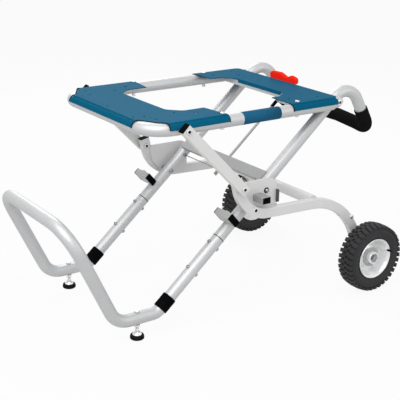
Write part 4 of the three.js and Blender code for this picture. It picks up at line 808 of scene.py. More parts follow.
def cupHead(word, body, name, origin, way, width):
    # a bright ring round a socket; the black hex disc in the socket is painted shade for its recess
    ring = turnedPiece(f"{name}Ring_{word}", origin, way, [
        (along, width * share) for along, share in cup["ring"]], sides=cup["ringSides"])
    place(ring, body, "brightZinc")
    wide = width * cup["socketShare"]
    socket = turnedPiece(f"{name}Socket_{word}", origin + way * cup["socketRise"], way, [
        (0, wide), (cup["socketDepth"], wide)], sides=6)
    place(socket, body, "blackPlastic")


def capPiece(name, end, way, bar):
    piece = startBox(name, end + way * gap, barTurn(way), bar["width"], bar["depth"], bar["corner"])
    pull(way * endCap["length"])
    return closeMesh(piece, bevel=endCap["edge"], segments=3)


def makeLink(word, sign):
    y = sign * linkBar["middle"]
    top, bottom = sidePoint(plan["linkTop"], y), sidePoint(plan["linkBottom"], y)
    way = (bottom - top).normalized()
    ends = [top - way * linkBar["overhang"], bottom + way * linkBar["footEnd"]]
    body = f"link_arm_{word}"
    place(boxBar(f"linkBar_{word}", ends, [], linkBar), body, "greySteel", f"link_{word}")
    place(capPiece(f"linkEndCap_{word}", ends[0], -way, linkBar), body, "blackPlastic", f"link_cap_{word}")


def makeWheelBar(word, sign):
    y = sign * wheelBar["middle"]
    axle = Vector((plan["wheelX"], y, plan["wheelZ"]))
    corners = [sidePoint(wheelBar[key], y) for key in ("top", "knee", "hip")]
    tail = axle + (axle - corners[2]).normalized() * wheelBar["tail"]
    bar = boxBar(f"wheelBar_{word}", corners + [tail], wheelBar["bends"], wheelBar)
    place(bar, "wheel_frame", "greySteel", f"wheel_tube_{word}")
    upward = (corners[0] - corners[1]).normalized()
    cap = capPiece(f"wheelBarCap_{word}", corners[0], upward, wheelBar)
    place(cap, "wheel_frame", "blackPlastic", f"wheel_tube_cap_{word}")


def makeBarBolts(word, sign):
    # the stud that the link turns on, and the bolt above the wheel
    s, seat = linkStud, faces["barIn"]
    middle = sidePoint(plan["linkBottom"], 0)
    stud = turnedPiece(f"linkStud_{word}", middle, across(sign), [
        (seat - s["headIn"], s["head"]), (seat - s["headOut"], s["head"]), (seat - s["headOut"], s["shank"]),
        (faces["barOut"], s["shank"])])
    place(stud, "wheel_frame", "zincSteel")
    cupSeat = sidePoint(plan["linkBottom"], sign * (seat - s["cupIn"]))
    cupHead(word, "wheel_frame", "linkStud", cupSeat, across(-sign), s["head"])
    bolt = turnedPiece(f"wheelBarBolt_{word}", sidePoint(wheelBar["boltAt"], sign * faces["barOut"]),
                       across(sign), barBolt["profile"])
    place(bolt, "wheel_frame", "brightZinc")


gusset = {"inner": 0.2290, "thick": 0.004, "rightX": 0.12125, "topZ": 0.402, "corner": 0.030, "edge": 0.0007,
          "topShare": 0.65, "flange": 0.012, "flangeLow": 0.328, "flangeHigh": 0.364, "flangeShare": 0.8}
stopBlock = {"x": 0.03675, "width": 0.0295, "z": 0.342, "height": 0.021, "reach": 0.044, "wall": 0.0012,
             "corner": 0.002, "lap": 0.0005, "floor": 0.002, "edge": 0.0004, "plugFrom": 0.016,
             "plugLength": 0.0148, "plugWalls": 1.9}
lockEnd = {"washer": [(-0.0005, 0.0178), (0.0010, 0.0178), (0.0014, 0.0170)], "washerSides": 32,
           "dome": [(-0.001, 0.013), (0.0030, 0.013), (0.0034, 0.0122), (0.0050, 0.0112), (0.0066, 0.0088),
                    (0.0076, 0.0056), (0.0080, 0.0026)]}


def makeGusset(word, sign):
    g, half = gusset, wheelBar["width"] / 2
    topX, (kneeX, kneeZ) = wheelBar["top"][0], wheelBar["knee"]
    outline = roundCorners([
        (topX + wheelBar["width"] * g["topShare"], g["topZ"], 0), (g["rightX"], g["topZ"], g["corner"]),
        (g["rightX"], kneeZ - half / 2, half / 2), (kneeX + 2 * half, kneeZ, half),
        (kneeX - half / 2, kneeZ + 3 * half, 0), (topX + half, g["topZ"] - half, 0)])
    y = sign * g["inner"]
    piece = outlinePiece(f"gussetPlate_{word}", [(p.x, y, p.y) for p in outline], across(sign) * g["thick"],
                         bevel=g["edge"])
    place(piece, "wheel_frame", "greySteel", f"gusset_{word}")
    # painted shade: the flange takes the near-black steel copy for the shade on its face
    middle = (g["flangeLow"] + g["flangeHigh"]) / 2
    seat = y + sign * (g["thick"] - overrun)
    flange = startBox(f"gussetFlange_{word}", Vector((g["rightX"], seat, middle)), acrossTurn(sign),
                      g["thick"] * g["flangeShare"], g["flangeHigh"] - g["flangeLow"])
    pull(across(sign) * (g["flange"] + overrun))
    place(closeMesh(flange, bevel=g["edge"]), "wheel_frame", "paintedShadeSteel")


def acrossTurn(sign):
    # width along x, depth along z, to be pulled across the stand
    return Matrix.Rotation(math.radians(-90 * sign), 3, "X")


def makeStopBlock(word, sign):
    # a short thin-walled box on the gusset, dark inside
    s = stopBlock
    outer = sign * (gusset["inner"] + gusset["thick"])
    x, z = s["x"] + s["width"] / 2, s["z"] + s["height"] / 2
    stop = startBox(f"stopBlockTube_{word}", Vector((x, outer - sign * s["lap"], z)), acrossTurn(sign),
                    s["width"], s["height"], s["corner"])
    pull(across(sign) * (s["reach"] + s["lap"]))
    bpy.ops.mesh.inset(thickness=s["wall"])
    pull(across(-sign) * (s["reach"] - s["floor"]))
    place(closeMesh(stop, bevel=s["edge"]), "wheel_frame", "dullSteel")
    walls = s["plugWalls"] * s["wall"]
    plug = startBox(f"stopBlockPlug_{word}", Vector((x, outer + sign * (s["reach"] - s["plugFrom"]), z)),
                    acrossTurn(sign), s["width"] - walls, s["height"] - walls)
    pull(across(sign) * s["plugLength"])
    place(closeMesh(plug), "wheel_frame", "blackPlastic")


def makeLockEnd(word, sign):
    seat = legPoint(plan["lockDistance"], 0, sign * (gusset["inner"] + gusset["thick"]))
    washer = turnedPiece(f"lockPinWasher_{word}", seat, across(sign), lockEnd["washer"],
                         lockEnd["washerSides"])
    place(washer, "wheel_frame", "blackPlastic")
    place(turnedPiece(f"lockPinEnd_{word}", seat, across(sign), lockEnd["dome"]), "wheel_frame", "zincSteel")


crossTube = {"x": 0.26325, "z": 0.302, "diameter": 0.032, "endGap": 0.0004}


def makeCrossTube():
    reach = faces["barIn"] - crossTube["endGap"]
    ends = [Vector((crossTube["x"], sign * reach, crossTube["z"])) for sign in (-1, 1)]
    place(bentTube("wheelCrossTube", ends, [], crossTube["diameter"]), "wheel_frame", "greySteel",
          "wheel_cross_tube")


for word, sign in sideNames.items():
    for makeIt in (makeLink, makeWheelBar, makeBarBolts, makeGusset, makeStopBlock, makeLockEnd):
        makeIt(word, sign)
makeCrossTube()
print("links and wheel frame made")

# wheels
wheel = {"diameter": 0.213, "width": 0.058, "lug": 0.005, "rim": 0.124, "seat": 0.046, "lugs": 36,
         "beadGap": 0.0003, "ringSides": 72, "lugEdge": 0.0011}
# half the tyre's section: places from its middle or in from its wall, with rises over the bead or drops
# below the tread
tyre = {"beadHalf": 0.0215, "beadSlope": [(0.0225, 0.005), (0.026, 0.011)],
        "sideWall": [(0.0006, 0.019), (0, 0.024)],
        "shoulder": [(0.001, 0.011), (0.0035, 0.006), (0.0075, 0.0025)],
        "crownHalf": 0.014, "crownDrop": 0.0007,
        "rib": [(-0.0004, 0.0215), (0.0005, 0.0220), (0.0005, 0.0230), (-0.0004, 0.0235), (-0.0004, 0.0215)]}
# the four rows of lugs: the two outer ones lean, the two inner ones lie beside the middle
outerLug = {"size": (0.0124, 0.019, 0.0085), "inset": 0.0100, "slant": 10, "lean": 9, "drop": 0.0016}
innerLug = {"size": (0.0116, 0.013, 0.0072), "half": 0.0055, "slant": -16, "lean": 0, "drop": 0.0004}
valve = {"start": 0.019, "x": 0.0570, "z": 0.0150, "sides": 16,
         "profile": [(0, 0.0080), (0.0075, 0.0076), (0.0080, 0.0060), (0.0110, 0.0058), (0.0114, 0.0070),
                     (0.0150, 0.0066)]}


def wheelCentre(sign):
    return Vector((plan["wheelX"], sign * plan["wheelHalf"], plan["wheelZ"]))


def ringOf(name, sign, profile, sides=wheel["ringSides"]):
    # (across, radius) pairs turned once round the axle, to a closed ring
    way, centre = across(sign), wheelCentre(sign)
    along, radius = profile[0]
    piece = startRing(name, centre + way * along, way, radius, sides, filled=False)
    for nextAlong, nextRadius in profile[1:]:
        pull(way * (nextAlong - along))
        factor = nextRadius / radius
        if factor != 1:
            widen((factor, factor, factor), centre + way * nextAlong)
        along, radius = nextAlong, nextRadius
    return closeMesh(piece)


def tyreSection(tread, bead, half):
    # from the inner bead over the tread to the outer one
    t = tyre
    side = [(t["beadHalf"], bead)] + [(y, bead + rise) for y, rise in t["beadSlope"]]
    side += [(half - inset, bead + rise) for inset, rise in t["sideWall"]]
    side += [(half - inset, tread - drop) for inset, drop in t["shoulder"]]
    side.append((t["crownHalf"], tread - t["crownDrop"]))
    return [(-y, r) for y, r in side] + [(0, tread)] + side[::-1] + [(-t["beadHalf"], bead)]


def lugCopies(lug, y, mirror, phase, sign, tread):
    # one bevelled block, then a copy with its own mesh at each pitch round the tread
    deselectAll()
    bpy.ops.mesh.primitive_cube_add(size=1)
    block = bpy.context.object
    block.scale = lug["size"]
    bpy.ops.object.transform_apply(location=False, rotation=False, scale=True)
    closeMesh(block, bevel=wheel["lugEdge"])
    shape = (Matrix.Translation((0, y, tread + wheel["lug"] - lug["drop"] - lug["size"][2] / 2))
             @ Matrix.Rotation(math.radians(-lug["lean"] * mirror), 4, "X")
             @ Matrix.Rotation(math.radians(lug["slant"] * mirror), 4, "Z"))
    copies = []
    for i in range(wheel["lugs"]):
        turn = Matrix.Rotation((i + phase) / wheel["lugs"] * 2 * math.pi, 4, "Y")
        copy = block.copy()
        copy.data = block.data.copy()
        scene.collection.objects.link(copy)
        copy.data.transform(Matrix.Translation(wheelCentre(sign)) @ turn @ shape)
        copies.append(copy)
    bpy.data.objects.remove(block)
    return copies


def makeTyre(word, sign):
    tread = wheel["diameter"] / 2 - wheel["lug"]
    half = wheel["width"] / 2
    bead = wheel["rim"] / 2 + wheel["beadGap"]
    pieces = [ringOf(f"tyre_{word}_body", sign, tyreSection(tread, bead, half))]
    for lug, y, mirror, phase in (
            (outerLug, half - outerLug["inset"], 1, 0), (outerLug, outerLug["inset"] - half, -1, 0.5),
            (innerLug, innerLug["half"], 1, 0.25), (innerLug, -innerLug["half"], -1, 0.75)):
        pieces += lugCopies(lug, y, mirror, phase, sign, tread)
    pieces += [ringOf("sideRib", sign, [(k * (half + out), bead + rise) for out, rise in tyre["rib"]])
               for k in (-1, 1)]
    piece = joinPieces(pieces, f"luggedTyre_{word}")
    smoothShading(piece)
    place(piece, f"wheel_{word}", "tyreRubber", f"tyre_{word}")


def makeValve(word, sign):
    start = wheelCentre(sign) + across(sign) * valve["start"] + Vector((valve["x"], 0, valve["z"]))
    stem = turnedPiece(f"valveStem_{word}", start, across(sign), valve["profile"], valve["sides"])
    place(stem, f"wheel_{word}", "blackRubber")


# the rim's section, (across, radius): hub and dish on the inner side, the lip, then dish and hub outside
rim = {"bore": 0.0064, "hubIn": -0.022, "dishIn": [(-0.022, 0.019), (-0.004, 0.020), (-0.008, 0.027),
                                                   (-0.011, 0.046), (-0.016, 0.052)],
       "lipFoot": (0.0012, 0.0585),
       "lip": [(0.0030, -0.0012), (0.0030, 0.0004), (0.0018, 0.0012), (0, 0.0006), (0, 0)],
       "dishOut": [(0.0150, 0.0555), (0.0020, 0.0515), (-0.0040, 0.0470), (-0.0046, 0.0400), (0.0010, 0.0330),
                   (0.0042, 0.0270), (0.0046, 0.0205), (0.0190, 0.0190), (0.0205, 0.0175), (0.0205, 0.0150),
                   (0.0120, 0.0145)], "hubOut": 0.0120,
       "hole": 0.006, "holeRadius": 0.042, "holeFrom": 0.02, "holeLength": 0.04, "holes": 4, "holeTurn": 115,
       "holeSides": 16}
hubRing = {
    "section": [(0.0050, 0.0300), (0.0056, 0.0312), (0.0062, 0.0312), (0.0070, 0.0300), (0.0070, 0.0226),
                (0.0050, 0.0226), (0.0050, 0.0300)],
    "sides": 64}


def rimSection():
    r, seat, radius = rim, wheel["seat"] / 2, wheel["rim"] / 2
    lip = [(seat + r["lipFoot"][0], r["lipFoot"][1])]
    lip += [(seat + out, radius + rise) for out, rise in r["lip"]]
    hubStart = (r["hubIn"], r["bore"])
    return ([hubStart] + r["dishIn"] + [(-y, value) for y, value in lip] + lip[::-1] + r["dishOut"]
            + [(r["hubOut"], r["bore"]), hubStart])


def makeRim(word, sign):
    r = rim
    piece = ringOf(f"dishedRim_{word}", sign, rimSection())
    cutters = []
    for k in range(r["holes"]):
        angle = math.radians(r["holeTurn"]) + 2 * math.pi * k / r["holes"]
        spot = Vector((r["holeRadius"] * math.cos(angle), -sign * r["holeFrom"],
                       r["holeRadius"] * math.sin(angle)))
        cutters.append(turnedPiece("holeCutter", wheelCentre(sign) + spot, across(sign), [
            (0, r["hole"]), (r["holeLength"], r["hole"])], r["holeSides"]))
    cutAway(piece, cutters)
    smoothShading(piece)
    place(piece, f"wheel_{word}", "whitePaint", f"wheel_rim_{word}")
    ring = ringOf(f"rimHubRing_{word}", sign, hubRing["section"], hubRing["sides"])
    # painted shade: the hub ring takes the darker copy of the grey steel
    place(ring, f"wheel_{word}", "shadedGreySteel")


for word, sign in sideNames.items():
    for makeIt in (makeTyre, makeValve, makeRim):
        makeIt(word, sign)
print("wheels made")

# release lever: two rounded lobes with a dip between them, on a cranked neck
lever = {"gripX": 0.33925, "thick": 0.014, "low": 0.607, "high": 0.633, "left": -0.047, "right": 0.080,
         "lowBend": 0.009, "rightDrop": 0.002, "rightBend": 0.012, "peakY": 0.030, "peakBend": 0.014,
         "dipY": -0.001, "dipRise": 0.0165, "dipBend": 0.012, "lobeY": -0.022, "lobeDrop": 0.001,
         "lobeBend": 0.010, "leftDrop": 0.006, "edge": 0.0042, "segments": 5, "smooth": 60,
         "outlineSteps": 8}
crank = {"pivot": (0.32901, 0.54897), "along": 0.038, "half": 0.007, "neckBack": 0.0010, "rise": 0.018,
         "thick": 0.006, "edge": 0.0009, "hub": 0.018, "hubHalf": 0.0137, "hubEdge": 0.001, "hubSides": 32,
         "stub": 0.004, "stubFrom": 0.0023, "stubTo": 0.006, "stubSides": 16}


def makeKnob():
    v = lever
    outline = roundCorners([
        (v["left"], v["low"], v["lowBend"]), (v["right"], v["low"], v["lowBend"]),
        (v["right"], v["high"] - v["rightDrop"], v["rightBend"]), (v["peakY"], v["high"], v["peakBend"]),
        (v["dipY"], v["low"] + v["dipRise"], v["dipBend"]),
        (v["lobeY"], v["high"] - v["lobeDrop"], v["lobeBend"]),
        (v["left"], v["high"] - v["leftDrop"], v["lobeBend"])], segments=v["outlineSteps"])
    points = [(v["gripX"] - v["thick"] / 2, p.x, p.y) for p in outline]
    knob = outlinePiece("leverKnob", points, Vector((v["thick"], 0, 0)), bevel=v["edge"],
                        segments=v["segments"], smooth=v["smooth"])
    place(knob, "lever", "redPlastic", "release_lever")


def makeCrank():
    c, half = crank, crank["half"]
    px, pz = c["pivot"]
    end = legPoint(c["along"], 0, 0)
    neckX, neckTop = lever["gripX"] - c["neckBack"], lever["low"] + half
    arm = roundCorners([
        (px - half, pz - half, half / 2), (px + half, pz - half, half / 2),
        (neckX + half / 2, pz + c["rise"], half),
        (neckX + half / 2, neckTop, 0), (neckX - half / 2, neckTop, 0),
        (neckX - half / 2, end.z + c["rise"], half), (end.x - half, end.z + half, half / 2),
        (end.x - half, end.z - half, half / 2)])
    neck = outlinePiece("leverNeck", [(p.x, c["thick"] / 2, p.y) for p in arm], across(c["thick"]),
                        bevel=c["edge"])
    hub = turnedPiece("leverHub", Vector((px, 0, pz)), across(1), [
        (-c["hubHalf"], c["hub"]), (c["hubHalf"], c["hub"])], c["hubSides"], bevel=c["hubEdge"])
    stub = turnedPiece("leverStub", end, across(1), [
        (c["stubFrom"], c["stub"]), (c["stubTo"], c["stub"])], c["stubSides"])
    place(joinPieces([neck, hub, stub], "leverCrank"), "lever", "greySteel")


makeKnob()
makeCrank()

# bolts, screws, pins and feet
buttonShares = [(0, 1.0), (0.45, 1.0), (0.75, 0.86), (0.93, 0.62), (1.0, 0.35)]
nutShares = [(0, 0.94), (0.12, 1.0), (0.88, 1.0), (1.0, 0.94)]


def buttonHead(name, origin, way, width, height):
    profile = [(share * height, spread * width) for share, spread in buttonShares]
    return turnedPiece(name, origin, way, profile)


def hexNut(name, origin, way, width, height):
    full = width / math.cos(math.pi / 6)
    profile = [(share * height, spread * full) for share, spread in nutShares]
    return turnedPiece(name, origin, way, profile, sides=6)


def shank(name, start, end, diameter):
    return turnedPiece(name, start, end - start, [(0, diameter), ((end - start).length, diameter)], sides=20)


legBolt = {"upper": 0.560, "lower": 0.654, "head": 0.010, "headHeight": 0.005, "nut": 0.011,
           "nutHeight": 0.006, "shank": 0.006, "nutLap": 0.003, "socket": 0.0046, "socketRise": 0.0044,
           "socketDepth": 0.0009}
footPad = {"x": -0.32975, "sides": 40, "profile": [
    (0, 0.036), (0.0005, 0.0375), (0.002, 0.040), (0.007, 0.040), (0.0095, 0.0388), (0.0115, 0.037),
    (0.012, 0.036)]}
footScrew = {"bell": [(0.0123, 0.027), (0.0138, 0.027), (0.0150, 0.0255), (0.0190, 0.0205), (0.0215, 0.0150),
                      (0.0222, 0.0118)],
             "threadFrom": 0.0230, "pitch": 0.0007, "ridges": 20, "ridge": 0.0100, "core": 0.0086,
             "sides": 32, "jamNut": 0.0165, "jamHeight": 0.0055, "head": 0.013, "headHeight": 0.005}
pivotBolt = {"head": 0.016, "headHeight": 0.0045, "shank": 0.010, "spacer": 0.018}
sunkHead = {"width": 0.013, "rim": 0.0013, "chamfer": 0.0115, "socket": 0.008, "socketDepth": 0.0033,
            "socketFoot": 0.007, "socketEnd": 0.001, "cup": 0.0165, "cupIn": 0.0018}
deckPivot = {"washer": 0.019, "washerThick": 0.0015, "washerEdge": 0.0003, "washerSides": 32,
             "shankOut": 0.0006, "cup": 0.0145, "cupOut": 0.0011}
linkBolt = {"endOut": 0.001, "cup": 0.0160}
axleBolt = {"head": 0.0165, "headHeight": 0.007, "shank": 0.012, "spacer": 0.019, "spacerEnd": 0.2802,
            "end": 0.3230, "nutSeat": 0.3150, "nutHeight": 0.0110}
lockPin = {"profile": [(0.181, 0.0095), (0.182, 0.012), (0.2257, 0.012), (0.2287, 0.0084)], "sides": 24}


def makeLegBolts(word, sign):
    b, y = legBolt, sign * plan["frameHalf"]
    radius = legTube["lower"] / 2 + gap
    for level in ("upper", "lower"):
        top, bottom = legPoint(b[level], radius, y), legPoint(b[level], -radius, y)
        bolt = joinPieces([
            buttonHead("head", top, legOut, b["head"], b["headHeight"]),
            hexNut("nut", bottom, -legOut, b["nut"], b["nutHeight"]),
            shank("shank", bottom - legOut * b["nutLap"], top + legOut * overrun, b["shank"])],
            f"legBolt_{level}_{word}")
        place(bolt, "leg_frame", "zincSteel", f"leg_bolt_{level}_{word}")
        # painted shade: a black hex disc in the head stands in for the shade inside its socket
        socket = turnedPiece(f"legBoltSocket_{level}_{word}", top + legOut * b["socketRise"], legOut, [
            (0, b["socket"]), (b["socketDepth"], b["socket"])], sides=6)
        place(socket, "leg_frame", "blackPlastic")


def makeFoot(word, sign):
    s = footScrew
    base = Vector((footPad["x"], sign * plan["frameHalf"], 0))
    pad = turnedPiece(f"footPad_{word}", base, up, footPad["profile"], footPad["sides"])
    place(pad, "leg_frame", "blackRubber", f"foot_pad_{word}")
    reach = legTube["lower"] / 2 + gap
    runTop, runBottom = foot["runHeight"] + reach, foot["runHeight"] - reach
    thread = [(s["threadFrom"] + s["pitch"] * k, s["ridge"] if k % 2 else s["core"])
              for k in range(s["ridges"])]
    screw = joinPieces([
        turnedPiece("stem", base, up, s["bell"] + thread + [
            (runBottom + overrun, s["core"]), (runTop + overrun, s["core"])], s["sides"]),
        hexNut("jamNut", base + up * runBottom, -up, s["jamNut"], s["jamHeight"]),
        hexNut("head", base + up * runTop, up, s["head"], s["headHeight"])], f"footScrew_{word}")
    place(screw, "leg_frame", "brightZinc", f"foot_screw_{word}")


def pivotHead(pivot, sign, seat):
    return buttonHead("head", pivot + across(sign) * seat, across(-sign), pivotBolt["head"],
                      pivotBolt["headHeight"])


def spacerProfile(start, spacerFrom, spacerTo, end, thin=pivotBolt["shank"], thick=pivotBolt["spacer"]):
    # a shank that carries a spacer between two layers
    return [(start, thin), (spacerFrom, thin), (spacerFrom, thick), (spacerTo, thick),
            (spacerTo, thin), (end, thin)]


def makeWheelPivot(word, sign):
    s, pivot = sunkHead, legPoint(plan["wheelPivotDistance"], 0, 0)
    seat, end = faces["barIn"] + wheelBar["wall"] + gap, faces["barOut"] - gap
    spacer = spacerProfile(faces["legIn"] - overrun, faces["legOut"], gusset["inner"] - gap, seat)
    bolt = joinPieces([
        pivotHead(pivot, sign, faces["legIn"]), turnedPiece("spacer", pivot, across(sign), spacer),
        turnedPiece("sunkHead", pivot, across(sign), [
            (seat, s["width"]), (faces["barOut"] - s["rim"], s["width"]), (end, s["chamfer"]),
            (end, s["socket"]), (faces["barOut"] - s["socketDepth"], s["socketFoot"]),
            (faces["barOut"] - s["socketDepth"], s["socketEnd"])])], f"wheelPivotBolt_{word}")
    place(bolt, "leg_frame", "zincSteel", f"wheel_pivot_bolt_{word}")
    cupSeat = pivot + across(sign) * (faces["barOut"] - s["cupIn"])
    cupHead(word, "leg_frame", "wheelPivotBolt", cupSeat, across(sign), s["cup"])


def makeDeckPivot(word, sign):
    d, pivot = deckPivot, sidePoint((plan["pivotX"], plan["pivotZ"]), 0)
    seat = faces["flatOut"]
    bolt = joinPieces([
        pivotHead(pivot, sign, faces["legIn"]),
        shank("shank", pivot + across(sign) * (faces["legIn"] - overrun),
              pivot + across(sign) * (seat + d["shankOut"]), pivotBolt["shank"]),
        turnedPiece("washer", pivot, across(sign), [
            (seat, d["washer"]), (seat + d["washerThick"], d["washer"])], d["washerSides"],
            bevel=d["washerEdge"])], f"deckPivotBolt_{word}")
    place(bolt, "deck", "brightZinc", f"deck_pivot_bolt_{word}")
    cupSeat = pivot + across(sign) * (seat + d["cupOut"])
    cupHead(word, "deck", "deckPivotBolt", cupSeat, across(sign), d["cup"])


def makeLinkBolts(word, sign):
    b, body = linkBolt, f"link_arm_{word}"
    spacerTo, end, cupSeat = faces["linkIn"] - gap, faces["linkOut"] + b["endOut"], faces["linkOut"] + gap
    pivot = sidePoint(plan["linkTop"], 0)
    spacer = spacerProfile(faces["deckIn"] - overrun, faces["deckOut"], spacerTo, end)
    bolt = joinPieces([pivotHead(pivot, sign, faces["deckIn"]),
                       turnedPiece("spacer", pivot, across(sign), spacer)], f"linkTopBolt_{word}")
    place(bolt, "deck", "zincSteel", f"link_top_bolt_{word}")
    cupHead(word, "deck", "linkTopBolt", pivot + across(sign) * cupSeat, across(sign), b["cup"])
    pivot = sidePoint(plan["linkBottom"], 0)
    start = faces["barOut"] + gap
    spacer = spacerProfile(start, start, spacerTo, end)[2:]
    bolt = turnedPiece(f"linkBottomBolt_{word}", pivot, across(sign), spacer)
    place(bolt, body, "zincSteel", f"link_bottom_bolt_{word}")
    cupHead(word, body, "linkBottomBolt", pivot + across(sign) * cupSeat, across(sign), b["cup"])


def makeAxleBolt(word, sign):
    a, axle = axleBolt, Vector((plan["wheelX"], 0, plan["wheelZ"]))
    seat = faces["barIn"] - gap
    spacer = spacerProfile(seat - overrun, faces["barOut"] + gap, a["spacerEnd"], a["end"],
                           a["shank"], a["spacer"])
    bolt = joinPieces([
        hexNut("head", axle + across(sign) * seat, across(-sign), a["head"], a["headHeight"]),
        turnedPiece("spacer", axle, across(sign), spacer),
        hexNut("nut", axle + across(sign) * a["nutSeat"], across(sign), a["head"], a["nutHeight"])],
        f"axleBolt_{word}")
    place(bolt, "wheel_frame", "zincSteel", f"axle_bolt_{word}")


def makeDeckScrews(word, sign):
    d = deckScrew
    for spot in ("front", "rear"):
        seat = Vector((d[spot], sign * d["y"], plan["plateTop"] + gap))
        under = Vector((d[spot], sign * d["y"], plan["pivotZ"] - deckTube["diameter"] / 2 - gap))
        screw = joinPieces([
            buttonHead("head", seat, up, d["head"], d["headHeight"]),
            hexNut("nut", under, -up, d["nut"], d["nutHeight"]),
            shank("shank", under - up * d["nutLap"], seat + up * overrun, d["shank"])],
            f"deckScrew_{spot}_{word}")
        place(screw, "deck", "brightZinc", f"deck_screw_{spot}_{word}")


def makeLockPin(word, sign):
    pin = turnedPiece(f"lockPin_{word}", legPoint(plan["lockDistance"], 0, 0), across(sign),
                      lockPin["profile"], lockPin["sides"])
    place(pin, f"pin_{word}", "zincSteel", f"lock_pin_{word}")


# bearing blocks: a rectangular tube across each leg, a small bracket plate on it, and two end caps
block = {"distance": 0.4796, "lift": 0.0378, "width": 0.020, "height": 0.040, "corner": 0.0025,
         "edge": 0.0005, "inner": 0.186, "outer": 0.250}
bracket = {"y": 0.224, "width": 0.016, "height": 0.037, "thick": 0.003, "corner": 0.002, "edge": 0.0006,
           "off": 0.0013, "lower": 0.001}


def blockBox(name, y):
    b = block
    return startBox(name, legPoint(b["distance"], b["lift"], y), turnOf(legUp, legOut), b["width"],
                    b["height"], b["corner"])


def makeBlock(word, sign):
    b, k = block, bracket
    tube = blockBox(f"bearingTube_{word}", sign * b["inner"])
    pull(across(sign) * (b["outer"] - b["inner"]))
    closeMesh(tube, bevel=b["edge"])
    turn = turnOf(across(1), legOut)
    spot = legPoint(b["distance"] - b["width"] / 2 - k["off"], b["lift"] - k["lower"], sign * k["y"])
    sheet = startBox("bracket", spot - turn.col[2] * k["thick"] / 2, turn, k["width"],
                     k["height"], k["corner"])
    pull(turn.col[2] * k["thick"])
    closeMesh(sheet, bevel=k["edge"])
    joined = joinPieces([tube, sheet], f"bearingTube_{word}")
    # painted shade: the bearing blocks take the darker copy of the grey steel
    place(joined, "leg_frame", "shadedGreySteel", f"bearing_block_{word}")


def makeBlockCaps(word, sign):
    for name, y, way, nodes in (("Outer", block["outer"] + gap, sign, (f"block_cap_{word}",)),
                                ("Inner", block["inner"] - gap, -sign, ())):
        cap = blockBox(f"block{name}Cap_{word}", sign * y)
        pull(across(way) * endCap["length"])
        place(closeMesh(cap, bevel=endCap["edge"], segments=3), "leg_frame", "blackPlastic", *nodes)


for word, sign in sideNames.items():
    for makeIt in (makeLegBolts, makeFoot, makeWheelPivot, makeDeckPivot, makeLinkBolts, makeAxleBolt,
                   makeDeckScrews, makeLockPin, makeBlock, makeBlockCaps):
        makeIt(word, sign)

# lock cable and release rod
cable = {"half": 0.186, "diameter": 0.003, "steps": 24, "sides": 16}
rod = {"diameter": 0.008, "low": 0.340, "high": 0.056, "eyes": ((0.363, 0.337), (0.060, 0.030)),
       "eyeWidth": 0.012, "eyeThick": 0.004, "eyeCorner": 0.001, "eyeEdge": 0.0006}
sleeve = {"from": 0.082, "length": 0.022, "width": 0.011, "endWidth": 0.0095, "chamfer": 0.001, "sides": 24}


def makeCable():
    c = cable
    path = [legPoint(plan["lockDistance"], 0, -c["half"] + 2 * c["half"] * k / c["steps"])
            for k in range(c["steps"] + 1)]
    piece = startRing("lockCableStrand", path[0], across(1), c["diameter"] / 2, c["sides"])
    for a, b in zip(path, path[1:]):
        pull(b - a)
    place(closeMesh(piece), "leg_frame", "zincSteel", "lock_cable")


def makeRod():
    r = rod
    parts = [shank("rod", legPoint(r["low"], 0, 0), legPoint(r["high"], 0, 0), r["diameter"])]
    for low, high in r["eyes"]:
        eye = startBox("eye", legPoint(low, 0, 0), turnOf(legOut, across(1)), r["eyeWidth"], r["eyeThick"],
                       r["eyeCorner"])
        pull(legUp * (low - high))
        parts.append(closeMesh(eye, bevel=r["eyeEdge"]))
    place(joinPieces(parts, "releaseRodBar"), "rod", "dullSteel", "release_rod")


def makeSleeve():
    s = sleeve
    piece = turnedPiece("releaseRodSleeve", legPoint(s["from"], 0, 0), legUp, [
        (0, s["endWidth"]), (s["chamfer"], s["width"]), (s["length"] - s["chamfer"], s["width"]),
        (s["length"], s["endWidth"])], s["sides"])
    place(piece, "rod", "blackPlastic")


makeCable()
makeRod()
makeSleeve()

# CAD nodes whose shape stays, with their finishes
kept = {"leg_brace": "dullSteel", "deck_cross_rail": "aluminium", "lever_bracket": "greySteel"}
for node, finish in kept.items():
    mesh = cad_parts[node].data
    mesh.materials.clear()
    mesh.materials.append(materials[finish])
print("small parts made")

# floor and light
studio = {"floor": 60.0, "floorShade": 0.62, "floorRough": 0.9, "lift": 0.92, "world": 0.64,
          "aimHeight": 0.35}
lamps = {
    "keyLight": {"place": (-1.6, -1.2, 2.6), "size": 3.0, "power": 76},
    "fillLight": {"place": (1.8, -2.2, 1.4), "size": 1.6, "power": 8},
    "backLight": {"place": (0.8, 2.2, 2.2), "size": 1.6, "power": 30},
}
white = (1, 1, 1, 1)


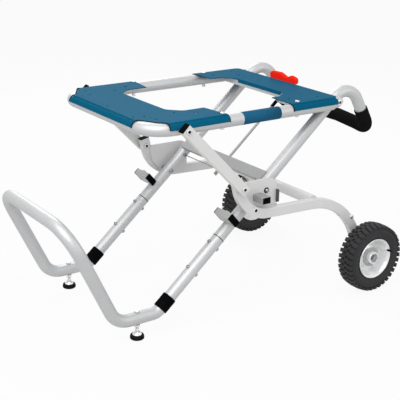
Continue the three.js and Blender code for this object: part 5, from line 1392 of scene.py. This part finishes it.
def seenRay(tree):
    # 1 on the rays that show the background: camera, glossy and transmission
    path = tree.nodes.new("ShaderNodeLightPath").outputs
    either = addMath(tree, "MAXIMUM", path["Is Camera Ray"], path["Is Glossy Ray"])
    return addMath(tree, "MAXIMUM", either, path["Is Transmission Ray"])


def makeFloor():
    deselectAll()
    bpy.ops.mesh.primitive_plane_add(size=studio["floor"], location=(0, 0, 0))
    floor = bpy.context.object
    floor.name = "studioFloor"
    bpy.ops.object.transform_apply(location=True, rotation=True, scale=True)
    paint = bpy.data.materials.new("paleFloor")
    paint.use_nodes = True
    tree = paint.node_tree
    matt = tree.nodes["Principled BSDF"]
    matt.inputs["Base Color"].default_value = (*[studio["floorShade"]] * 3, 1)
    matt.inputs["Roughness"].default_value = studio["floorRough"]
    glow = addNode(tree, "ShaderNodeEmission", {"Strength": 1.0})
    share = addMath(tree, "MULTIPLY", seenRay(tree), studio["lift"])
    blend = addNode(tree, "ShaderNodeMixShader", {"Fac": share, 1: matt.outputs[0], 2: glow.outputs[0]})
    tree.links.new(blend.outputs[0], tree.nodes["Material Output"].inputs["Surface"])
    floor.data.materials.append(paint)


def makeWorld():
    world = bpy.data.worlds.new("studioWorld")
    scene.world = world
    world.use_nodes = True
    tree = world.node_tree
    back = tree.nodes["Background"]
    back.inputs["Color"].default_value = white
    back.inputs["Strength"].default_value = studio["world"]
    plain = addNode(tree, "ShaderNodeBackground", {"Color": white, "Strength": 1.0})
    mix = addNode(tree, "ShaderNodeMixShader", {
        "Fac": seenRay(tree), 1: back.outputs[0], 2: plain.outputs[0]})
    tree.links.new(mix.outputs[0], tree.nodes["World Output"].inputs["Surface"])


def makeLamp(name, values):
    data = bpy.data.lights.new(name, "AREA")
    data.size = values["size"]
    data.energy = values["power"]
    lamp = bpy.data.objects.new(name, data)
    scene.collection.objects.link(lamp)
    lamp.location = values["place"]
    aim = up * studio["aimHeight"] - Vector(values["place"])
    lamp.rotation_euler = aim.to_track_quat("-Z", "Y").to_euler()


makeFloor()
makeWorld()
for name, values in lamps.items():
    makeLamp(name, values)
scene.view_settings.view_transform = "Standard"
print("studio made")
